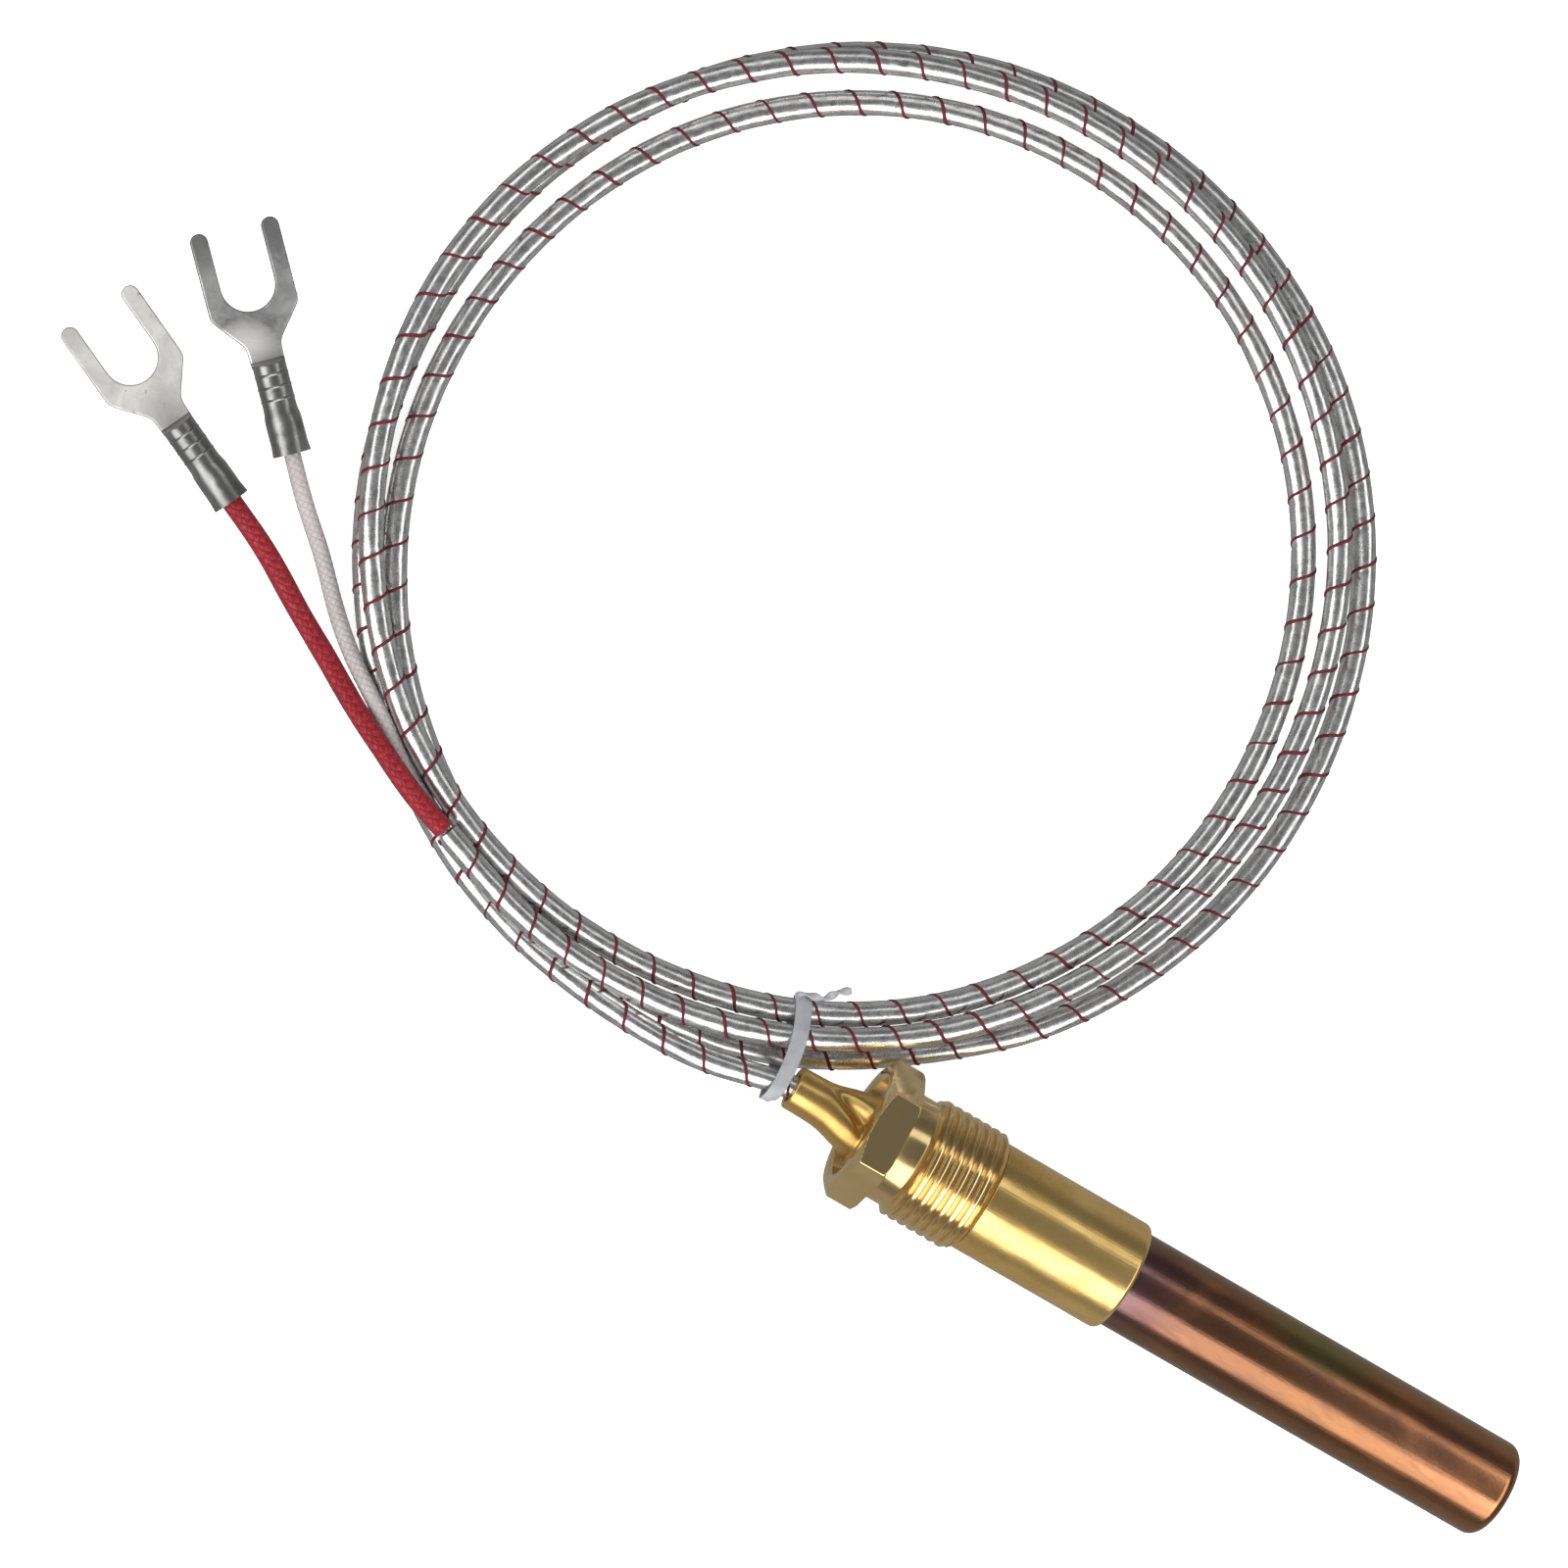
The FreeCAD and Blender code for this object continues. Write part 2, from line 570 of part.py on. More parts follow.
def coil_tie():
    band = tie_block(size("tie_thickness")).cut(tie_block(0.0))
    tail = Part.makeBox(*TAIL_SIZE)
    heading = math.degrees(math.atan2(TIE_ACROSS.y, TIE_ACROSS.x)) + TAIL_TURN
    tail.Placement = Placement(TIE_CENTRE + TIE_ALONG * TAIL_U + Vector(0, 0, TAIL_Z),
                               Rotation(Vector(0, 0, 1), heading))
    tie = doc.addObject("Part::Feature", "tie_node")
    tie.Shape = band.fuse(tail).removeSplitter()
    keep(tie, "coil_tie")


# ---------------------------------------------------------------- attachment nut
def nut_blank():
    corner_radius = "sizes.nut_flats / sqrt(3)"
    hexagon = along_x("Prism", "nut_hex", "-sizes.nut_back", Circumradius=corner_radius,
                      Height="sizes.nut_hex_length")
    hexagon.Polygon = 6
    trim = cylinder("nut_trim", corner_radius + " - sizes.nut_corner_trim",
                    "-sizes.nut_back", "sizes.nut_hex_length")
    trim = treat_rims("Chamfer", "nut_trim_chamfer", trim,
                      size("nut_flats") / math.sqrt(3) - size("nut_corner_trim"),
                      [-size("nut_back")],
                      size("nut_corner_chamfer_first"), size("nut_corner_chamfer_second"))
    head = doc.addObject("Part::MultiCommon", "nut_head")
    head.Shapes = [hexagon, trim]
    relief = cylinder(
        "nut_relief", "sizes.nut_relief_radius",
        "-sizes.nut_back + sizes.nut_hex_length - sizes.nut_relief_rear_overlap",
        "sizes.nut_relief_length + sizes.nut_relief_rear_overlap"
        " + sizes.nut_relief_front_overlap")
    shank = cylinder(
        "nut_shank", "sizes.thread_radius",
        "-sizes.nut_back + sizes.nut_hex_length + sizes.nut_relief_length",
        "sizes.nut_back - sizes.nut_hex_length - sizes.nut_relief_length"
        " - sizes.nut_front_gap")
    shank_back = -size("nut_back") + size("nut_hex_length") + size("nut_relief_length")
    chamfer = size("thread_chamfer")
    shank = treat_rims("Chamfer", "nut_shank_chamfer", shank, size("thread_radius"),
                       [-size("nut_front_gap"), shank_back], chamfer, chamfer)
    return fuse("nut_blank", head, relief, shank)


def nut_hollow():
    tool_start = "-sizes.nut_back - sizes.run_out"
    bore = cylinder("nut_bore", "sizes.nut_bore_radius", tool_start,
                    "sizes.nut_back + 2 * sizes.run_out")
    counterbore = cylinder("nut_counterbore", "sizes.nut_counterbore_radius", tool_start,
                           "sizes.nut_counterbore_depth + sizes.run_out")
    mouth_length = "sizes.nut_bore_chamfer + sizes.nut_mouth_run_out"
    mouth = cone("nut_mouth", "sizes.nut_counterbore_radius + " + mouth_length,
                 "sizes.nut_counterbore_radius",
                 "-sizes.nut_back - sizes.nut_mouth_run_out", mouth_length)
    return fuse("nut_hollow", bore, counterbore, mouth)


def thread_grooves():
    """Ring grooves of the thread's own depth and pitch stand in for the helix."""
    pitch = size("thread_pitch")
    half_top = pitch / 2 - size("thread_crest_margin")
    half_root = size("thread_root_flat") / 2
    top = size("thread_radius") + size("thread_tool_rise")
    root = size("thread_radius") - size("thread_depth")
    first = -size("nut_front_gap") - size("thread_chamfer") - pitch / 2
    rings = []
    for index in range(THREAD_GROOVES):
        x = first - index * pitch
        corners = [Vector(x - half_top, top, 0), Vector(x + half_top, top, 0),
                   Vector(x + half_root, root, 0), Vector(x - half_root, root, 0)]
        profile = doc.addObject("Part::Feature", "thread_profile_%d" % index)
        profile.Shape = Part.Face(Part.makePolygon(corners + [corners[0]]))
        ring = doc.addObject("Part::Revolution", "thread_ring_%d" % index)
        ring.Source = profile
        ring.Axis = Vector(1, 0, 0)
        ring.Base = Vector(0, 0, 0)
        ring.Angle = 360.0
        ring.Solid = True
        rings.append(ring)
    return compound("thread_cut", rings)


def attachment_nut():
    drilled = cut("nut_drilled", nut_blank(), nut_hollow())
    nut = cut("nut_node", drilled, thread_grooves())
    nut.Placement = Placement(Vector(0, 0, 0), Rotation(Vector(1, 0, 0), -size("nut_turn")))
    keep(nut, "attachment_nut")


# ---------------------------------------------------------------- leads and fork terminals
LEAD_STRAIGHT = 5.0  # the last routed point is pulled half way to this far before the fork
LEAD_GAP = 0.25  # sleeve end to barrel mouth
WIRE_REACH = (2.0, 6.0)  # conductor points inside the barrel


def lead(colour):
    turn = size(colour + "_fork_turn")
    ahead = Vector(math.cos(math.radians(turn)), math.sin(math.radians(turn)), 0)
    mouth = Vector(size(colour + "_fork_x"), size(colour + "_fork_y"),
                   size("fork_axis_above_table") - size("table_drop"))
    path = route(colour)
    path[-1] = path[-1] * 0.5 + (mouth - ahead * LEAD_STRAIGHT) * 0.5
    path.append(mouth - ahead * LEAD_GAP)
    spine = spline(colour + "_lead_spine", path)
    outer = sweep(colour + "_sleeve_out", spine, "sizes.%s_sleeve_radius" % colour)
    inner = sweep(colour + "_sleeve_in", spine, "sizes.sleeve_bore_radius")
    keep(hollow_sweep(colour + "_sleeve_node", outer, inner), colour + "_lead_sleeve")
    wire_spine = spline(colour + "_wire_spine",
                        path + [mouth + ahead * reach for reach in WIRE_REACH])
    keep(sweep(colour + "_wire_node", wire_spine,
               "sizes.wire_radius + sizes.conductor_extra"), colour + "_lead_conductor")
    fork_terminal(colour, Placement(mouth, Rotation(Vector(0, 0, 1), turn)))


def fork_slab(name, start, end, half_width):
    obj = doc.addObject("Part::Box", name)
    bind(obj, Length="%s - (%s)" % (end, start), Width="2 * " + half_width,
         Height="sizes.fork_thickness", Placement__Base__x=start,
         Placement__Base__y="-" + half_width, Placement__Base__z="-sizes.fork_barrel_radius")
    return obj


def fork_shoulder(prefix):
    """Plate widening from the neck to the full fork width."""
    neck = size("fork_neck_half_width")
    full = size("fork_half_width")
    start = size("fork_neck_start") + size("fork_shoulder_start")
    end = size("fork_plate_start") + size("fork_shoulder_end")
    z = -size("fork_barrel_radius")
    corners = [Vector(start, -neck, z), Vector(end, -full, z),
               Vector(end, full, z), Vector(start, neck, z)]
    profile = doc.addObject("Part::Feature", prefix + "shoulder_profile")
    profile.Shape = Part.Face(Part.makePolygon(corners + [corners[0]]))
    obj = doc.addObject("Part::Extrusion", prefix + "shoulder_plate")
    obj.Base = profile
    obj.DirMode = "Custom"
    obj.Dir = Vector(0, 0, 1)
    obj.Solid = False
    bind(obj, LengthFwd="sizes.fork_thickness")
    return obj


def fork_solid(prefix):
    tip_radius = "(sizes.fork_half_width - sizes.fork_slot_radius) / 2"
    tip_centre = "sizes.fork_tip - " + tip_radius
    barrel = cylinder(prefix + "barrel", "sizes.fork_barrel_radius", "0",
                      "sizes.fork_barrel_length")
    flare = cone(prefix + "flare", "sizes.fork_flare_radius", "sizes.fork_barrel_radius", "0",
                 "sizes.fork_flare_length")
    plate = fork_slab(prefix + "plate", "sizes.fork_plate_start + sizes.fork_shoulder_end",
                      tip_centre, "sizes.fork_half_width")
    neck = fork_slab(prefix + "neck", "sizes.fork_neck_start - sizes.fork_neck_overlap",
                     "sizes.fork_plate_start", "sizes.fork_neck_half_width")
    shoulder = fork_shoulder(prefix)
    tips = []
    for index, sign in enumerate(("", "-")):
        tip = doc.addObject("Part::Cylinder", prefix + "tip_%d" % index)
        bind(tip, Radius=tip_radius, Height="sizes.fork_thickness",
             Placement__Base__x=tip_centre,
             Placement__Base__y=sign + "(sizes.fork_half_width + sizes.fork_slot_radius) / 2",
             Placement__Base__z="-sizes.fork_barrel_radius")
        tips.append(tip)
    return fuse(prefix + "solid", barrel, flare, plate, neck, shoulder, *tips)


def fork_tools(prefix):
    """Open slot, blind barrel bore and crimp rings."""
    tool_bottom = "-sizes.fork_slot_tool_height / 2"
    slot_end = doc.addObject("Part::Cylinder", prefix + "slot_end")
    bind(slot_end, Radius="sizes.fork_slot_radius", Height="sizes.fork_slot_tool_height",
         Placement__Base__x="sizes.fork_slot_centre", Placement__Base__z=tool_bottom)
    slot = doc.addObject("Part::Box", prefix + "slot")
    bind(slot, Length="sizes.fork_slot_tool_length", Width="2 * sizes.fork_slot_radius",
         Height="sizes.fork_slot_tool_height", Placement__Base__x="sizes.fork_slot_centre",
         Placement__Base__y="-sizes.fork_slot_radius", Placement__Base__z=tool_bottom)
    bore = cylinder(prefix + "wire_hole", "sizes.fork_barrel_bore", "-sizes.run_out",
                    "sizes.run_out + sizes.fork_barrel_length - sizes.fork_barrel_end_wall")
    crimps = [along_x("Torus", prefix + "crimp_%d" % index,
                      "sizes.fork_crimp_start + %d * sizes.fork_crimp_pitch" % index,
                      Radius1="sizes.fork_barrel_radius + sizes.fork_crimp_rise",
                      Radius2="sizes.fork_crimp_depth + sizes.fork_crimp_rise")
              for index in range(FORK_CRIMPS)]
    return fuse(prefix + "tools", slot_end, slot, bore, *crimps)


def fork_terminal(colour, placement):
    prefix = colour + "_fork_"
    fork = cut(prefix + "node", fork_solid(prefix), fork_tools(prefix))
    fork.Placement = placement
    keep(fork, colour + "_fork_terminal")


# ---------------------------------------------------------------- assembly and export
protection_tube()
brass_sleeve()
crimped_rear_cap()
former_and_liner()
spacer("front_spacer")
spacer("rear_spacer")
elements("positive_elements", 0)
elements("negative_elements", 1)
junction_beads("hot", PAIR_COUNT, 0, "sizes.element_start + sizes.element_length")
junction_beads("cold", PAIR_COUNT - 1, 1, "sizes.element_start - sizes.bead_length")
splice("positive_splice", "sizes.wire_half_gap")
splice("negative_splice", "-sizes.wire_half_gap")
ceramic_potting()
cable()
core_tail("positive", 1)
core_tail("negative", -1)
coil_tie()
attachment_nut()
lead("red")
lead("white")

doc.recompute()
bad = [(obj.Name, list(obj.State)) for obj in doc.Objects
       if "Invalid" in obj.State or "Error" in obj.State]
for obj in pieces:
    if obj.Shape.isNull() or not obj.Shape.isValid() or obj.Shape.Volume <= 0:
        bad.append((obj.Label, "shape"))
if bad:
    raise SystemExit("bad objects: %r" % bad)
os.makedirs("parts", exist_ok=True)
for obj in pieces:
    obj.Shape.exportStep("parts/%s.step" % obj.Label)
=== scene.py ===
# Threaded thermocouple probe with a coiled foil cable and two fork-ended leads.
# The probe lies along X: closed tube tip at +X (front), nut round the origin end, and the
# cable leaves at -X (rear), where it coils flat in XY. Z is up.
# Geometry is in mm, scaled by MM on the way into Blender; materials and lights are in metres.
import bpy
import math
import numpy as np
from mathutils import Matrix, Vector


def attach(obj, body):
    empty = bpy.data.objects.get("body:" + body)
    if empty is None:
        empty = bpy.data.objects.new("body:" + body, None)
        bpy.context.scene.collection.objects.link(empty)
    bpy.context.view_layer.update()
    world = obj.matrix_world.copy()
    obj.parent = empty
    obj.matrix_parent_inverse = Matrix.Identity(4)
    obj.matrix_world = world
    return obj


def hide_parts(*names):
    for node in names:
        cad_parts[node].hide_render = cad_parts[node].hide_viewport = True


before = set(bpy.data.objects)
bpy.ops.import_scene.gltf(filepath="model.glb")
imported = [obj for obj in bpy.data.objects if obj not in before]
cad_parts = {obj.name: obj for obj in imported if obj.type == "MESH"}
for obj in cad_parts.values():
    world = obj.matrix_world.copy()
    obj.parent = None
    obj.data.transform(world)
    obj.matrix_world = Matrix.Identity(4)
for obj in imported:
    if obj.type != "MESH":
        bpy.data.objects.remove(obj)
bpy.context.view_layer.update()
MM = 0.001
TURN = 2 * np.pi

# Driving sizes shared between pieces
TUBE_REAR, TUBE_FRONT = 0.9, 60.2
TUBE_RADIUS = 5.0
SLEEVE_FRONT = 16.4
SLEEVE_REAR = -12.4
THREAD_PITCH_CABLE = 4.2                      # one turn of the tracer thread
RED_WEAVE = dict(around=7, pitch=1.9)         # yarn crossings round the sleeve, length of one
WHITE_WEAVE = dict(around=6, pitch=1.5)

# Centre line of the coiled cable, from the probe to the leads: x, y, z
CABLE_LAY = [
    (-17.60, 0.00, 0.00), (-21.10, -0.06, 0.00), (-27.90, -1.57, -0.24), (-38.79, -2.28, -1.43),
    (-49.52, -0.97, -3.39), (-59.81, 2.56, -4.86), (-69.09, 8.40, -5.29), (-76.92, 16.10, -5.30),
    (-83.01, 25.23, -5.30), (-86.86, 35.51, -5.30), (-88.28, 46.40, -5.30), (-87.25, 57.33, -5.30),
    (-83.80, 67.75, -5.30), (-78.07, 77.12, -5.30), (-70.36, 84.93, -5.30), (-61.10, 90.82, -5.30),
    (-50.74, 94.45, -5.30), (-39.82, 95.68, -5.30), (-28.90, 94.54, -5.30), (-18.51, 91.02, -5.30),
    (-9.17, 85.25, -5.30), (-1.37, 77.51, -5.30), (4.45, 68.21, -5.30), (8.00, 57.82, -5.30),
    (9.12, 46.90, -5.30), (7.74, 36.01, -5.29), (3.89, 25.73, -5.15), (-2.18, 16.59, -5.22),
    (-10.28, 9.42, -5.30), (-19.55, 3.50, -4.62), (-30.00, -0.01, -4.76), (-40.92, -0.49, -5.28),
    (-51.63, 1.94, -5.30), (-61.66, 6.42, -5.30), (-70.47, 12.97, -5.30), (-77.52, 21.38, -5.30),
    (-82.36, 31.23, -5.30), (-84.59, 41.98, -5.30), (-84.16, 52.94, -5.30), (-81.19, 63.51, -5.30),
    (-75.77, 73.05, -5.30), (-68.15, 80.95, -5.30), (-58.83, 86.74, -5.30), (-48.37, 90.05, -5.30),
    (-37.41, 90.61, -5.30), (-26.64, 88.50, -5.30), (-16.77, 83.72, -5.30), (-8.40, 76.62, -5.30),
    (-2.06, 67.66, -5.29), (1.81, 57.39, -5.17), (3.07, 46.49, -4.96), (1.60, 35.63, -4.66),
    (-2.59, 25.49, -4.25), (-9.06, 16.64, -3.69), (-17.53, 9.69, -3.22), (-27.49, 5.08, -3.10),
    (-38.26, 2.95, -3.02), (-49.24, 3.11, -2.74), (-59.86, 5.86, -2.65), (-69.58, 10.96, -2.67),
    (-77.67, 18.37, -2.70), (-83.79, 27.48, -2.70), (-87.70, 37.74, -2.70), (-89.06, 48.63, -2.70),
    (-87.56, 59.50, -2.70), (-83.36, 69.63, -2.70), (-76.86, 78.49, -2.70), (-68.56, 85.67, -2.70),
    (-58.82, 90.73, -2.70), (-48.21, 93.57, -2.77), (-37.24, 93.95, -2.86), (-26.46, 91.86, -2.98),
    (-16.45, 87.37, -3.11), (-7.83, 80.58, -3.20), (-0.97, 72.01, -3.29), (3.57, 62.02, -3.39),
    (5.68, 51.25, -3.40), (5.17, 40.28, -3.23), (2.15, 29.74, -2.83), (-3.15, 20.14, -2.36),
    (-10.55, 12.04, -1.95), (-19.64, 5.90, -1.61), (-29.86, 1.90, -1.25), (-40.73, 0.32, -1.01),
    (-51.66, 1.19, -1.14), (-62.14, 4.47, -1.24),
]
# Centre lines of the two leads, from the cable to the forks: x, y, z
RED_LAY = [
    (-62.48, 4.51, -0.35), (-66.84, 6.04, -0.83), (-71.24, 8.09, -1.55), (-75.52, 10.26, -3.10),
    (-80.10, 12.91, -4.48), (-84.75, 15.53, -5.25), (-89.59, 18.41, -5.30), (-94.60, 20.83, -4.74),
]
WHITE_LAY = [
    (-63.04, 4.92, -3.04), (-66.08, 6.38, -3.12), (-69.40, 8.31, -3.18), (-72.57, 10.59, -3.28),
    (-75.51, 12.53, -3.64), (-78.66, 14.75, -4.50), (-82.05, 17.75, -5.23), (-85.47, 21.19, -5.51),
    (-89.28, 24.60, -5.25), (-92.25, 27.55, -4.74),
]


# ------------------------------------------------------------------ curve and noise helpers
def run_length(points):
    """Distance travelled along the points, starting at 0."""
    return np.r_[0, np.cumsum(np.linalg.norm(np.diff(points, axis=0), axis=1))]


def resample(at, lengths, points):
    """Points linearly interpolated at the given run lengths."""
    return np.stack([np.interp(at, lengths, column) for column in points.T], 1)


def unit(vectors):
    return vectors / np.linalg.norm(vectors, axis=1)[:, None]


def angles(count):
    return np.linspace(0, TURN, count, endpoint=False)


def logistic(x, at, width):
    """Smooth step from 0 to 1 as x passes `at`; a negative width steps down."""
    return 1 / (1 + math.exp(-(x - at) / width))


def spline(points, step):
    """Natural cubic spline through the points at an even step: points and run lengths."""
    knots = np.array(points, float)
    at = run_length(knots)
    count = len(knots)
    gap = np.diff(at)
    system = np.zeros((count, count))
    target = np.zeros((count, 3))
    system[0, 0] = system[-1, -1] = 1
    for i in range(1, count - 1):
        system[i, i - 1:i + 2] = gap[i - 1], 2 * (gap[i - 1] + gap[i]), gap[i]
        target[i] = 6 * ((knots[i + 1] - knots[i]) / gap[i] - (knots[i] - knots[i - 1]) / gap[i - 1])
    curvature = np.linalg.solve(system, target)

    fine_at = np.linspace(0, at[-1], int(at[-1] * 20) + 2)
    i = np.clip(np.searchsorted(at, fine_at) - 1, 0, count - 2)
    before = ((at[i + 1] - fine_at) / gap[i])[:, None]
    after = ((fine_at - at[i]) / gap[i])[:, None]
    bend = (before ** 3 - before) * curvature[i] + (after ** 3 - after) * curvature[i + 1]
    fine = before * knots[i] + after * knots[i + 1] + bend * gap[i][:, None] ** 2 / 6

    lengths = run_length(fine)
    even = np.linspace(0, lengths[-1], max(2, int(round(lengths[-1] / step)) + 1))
    return resample(even, lengths, fine), even


def frames(path):
    """Two unit vectors square to the path at each point, carried along without twist."""
    tangents = unit(np.gradient(path, axis=0))
    normals = np.zeros_like(tangents)
    carried = np.array([0, 0, 1.0])
    for i, tangent in enumerate(tangents):
        square = carried - tangent * (carried @ tangent)
        carried = normals[i] = square / np.linalg.norm(square)
    return normals, np.cross(tangents, normals)


def section_rows(path, side, up, across, height):
    """One section per path point, `across` measured along side and `height` along up."""
    return path[:, None, :] + side[:, None, :] * across[..., None] + up[:, None, :] * height[..., None]


def smooth_noise(rows, columns, row_blur, column_blur, seed):
    """Smooth noise that wraps in both directions, scaled to unit deviation."""
    grain = np.random.default_rng(seed).standard_normal((rows, columns))
    row_freq = np.fft.fftfreq(rows)[:, None]
    column_freq = np.fft.fftfreq(columns)[None, :]
    keep = np.exp(-0.5 * ((row_freq * row_blur * 2.5) ** 2 + (column_freq * column_blur * 2.5) ** 2))
    out = np.real(np.fft.ifft2(np.fft.fft2(grain) * keep))
    return out / (out.std() + 1e-9)


def smooth_line(count, blur, seed):
    return smooth_noise(count, 1, blur, 1, seed)[:, 0]


# ------------------------------------------------------------------ mesh helpers
def link_object(name, data):
    obj = bpy.data.objects.new(name, data)
    bpy.context.scene.collection.objects.link(obj)
    return obj


def shade_smooth(mesh, sharp):
    """Smooth shading, with edges sharper than `sharp` degrees kept hard."""
    mesh.polygons.foreach_set("use_smooth", np.ones(len(mesh.polygons), bool))
    mesh.set_sharp_from_angle(angle=math.radians(sharp))


def grid_mesh(name, grid, sharp, lengths=None, closed=False):
    """Skins rows x columns x 3 points; columns go round, rows go along.

    A closed grid joins its last row to its first, an open one gets a cap at each end.
    UVs are the turn fraction and the row's length in mm.
    """
    rows, columns = grid.shape[:2]
    verts = grid.reshape(-1, 3).tolist()
    faces, uvs = [], []
    if lengths is None:
        lengths = run_length(grid.mean(1))
    for i in range(rows if closed else rows - 1):
        i2 = (i + 1) % rows
        v0, v1 = lengths[i], lengths[i2] if i2 > i else lengths[i] + 1
        for j in range(columns):
            k = (j + 1) % columns
            faces.append((i * columns + j, i * columns + k, i2 * columns + k, i2 * columns + j))
            u0, u1 = j / columns, (j + 1) / columns
            uvs += [(u0, v0), (u1, v0), (u1, v1), (u0, v1)]
    if not closed:
        for i in (0, rows - 1):
            centre = len(verts)
            verts.append(grid[i].mean(0).tolist())
            for j in range(columns):
                a, b = i * columns + j, i * columns + (j + 1) % columns
                faces.append((a, centre, b) if i == 0 else (a, b, centre))
                uvs += [(j / columns, lengths[i])] * 3

    mesh = bpy.data.meshes.new(name)
    mesh.from_pydata([tuple(v) for v in np.array(verts) * MM], [], faces)
    mesh.update()
    mesh.uv_layers.new(name="UVMap").data.foreach_set("uv", np.array(uvs, float).ravel())
    shade_smooth(mesh, sharp)
    return link_object(name, mesh)


def ring_rows(profile, theta):
    """Rings about X from (x, radius) pairs; a radius may vary round the ring."""
    return np.array([np.stack([np.full_like(theta, x), radius * np.cos(theta), radius * np.sin(theta)], 1)
                     for x, radius in profile])


def lathe(name, profile, segments, sharp=32, shape=None):
    """Turns a closed (x, radius) section about X; shape(x, radius, theta) may deform it."""
    theta = angles(segments)
    lengths = run_length(np.array(profile, float))
    if shape is not None:
        profile = [(x, shape(x, radius, theta)) for x, radius in profile]
    # columns go anticlockwise about +X, so rows run backwards for outward normals
    return grid_mesh(name, ring_rows(profile, theta)[::-1], sharp, lengths[::-1], closed=True)


def rounded(profile, radius, count):
    """Rounds every corner of a closed (x, radius) section with `count` points."""
    corners = [np.array(p, float) for p in profile]
    out = []
    for i, corner in enumerate(corners):
        to_last = corners[i - 1] - corner
        to_next = corners[(i + 1) % len(corners)] - corner
        last_len, next_len = np.linalg.norm(to_last), np.linalg.norm(to_next)
        cut = min(radius, last_len * 0.45, next_len * 0.45)
        start, end = corner + to_last / last_len * cut, corner + to_next / next_len * cut
        for t in np.linspace(0, 1, count):
            out.append(tuple((1 - t) ** 2 * start + 2 * t * (1 - t) * corner + t ** 2 * end))
    return out


def give(obj, material):
    obj.data.materials.clear()
    obj.data.materials.append(material)


def fit(obj, material, body, replaces=None):
    give(obj, material)
    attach(obj, body)
    if replaces:
        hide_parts(replaces)


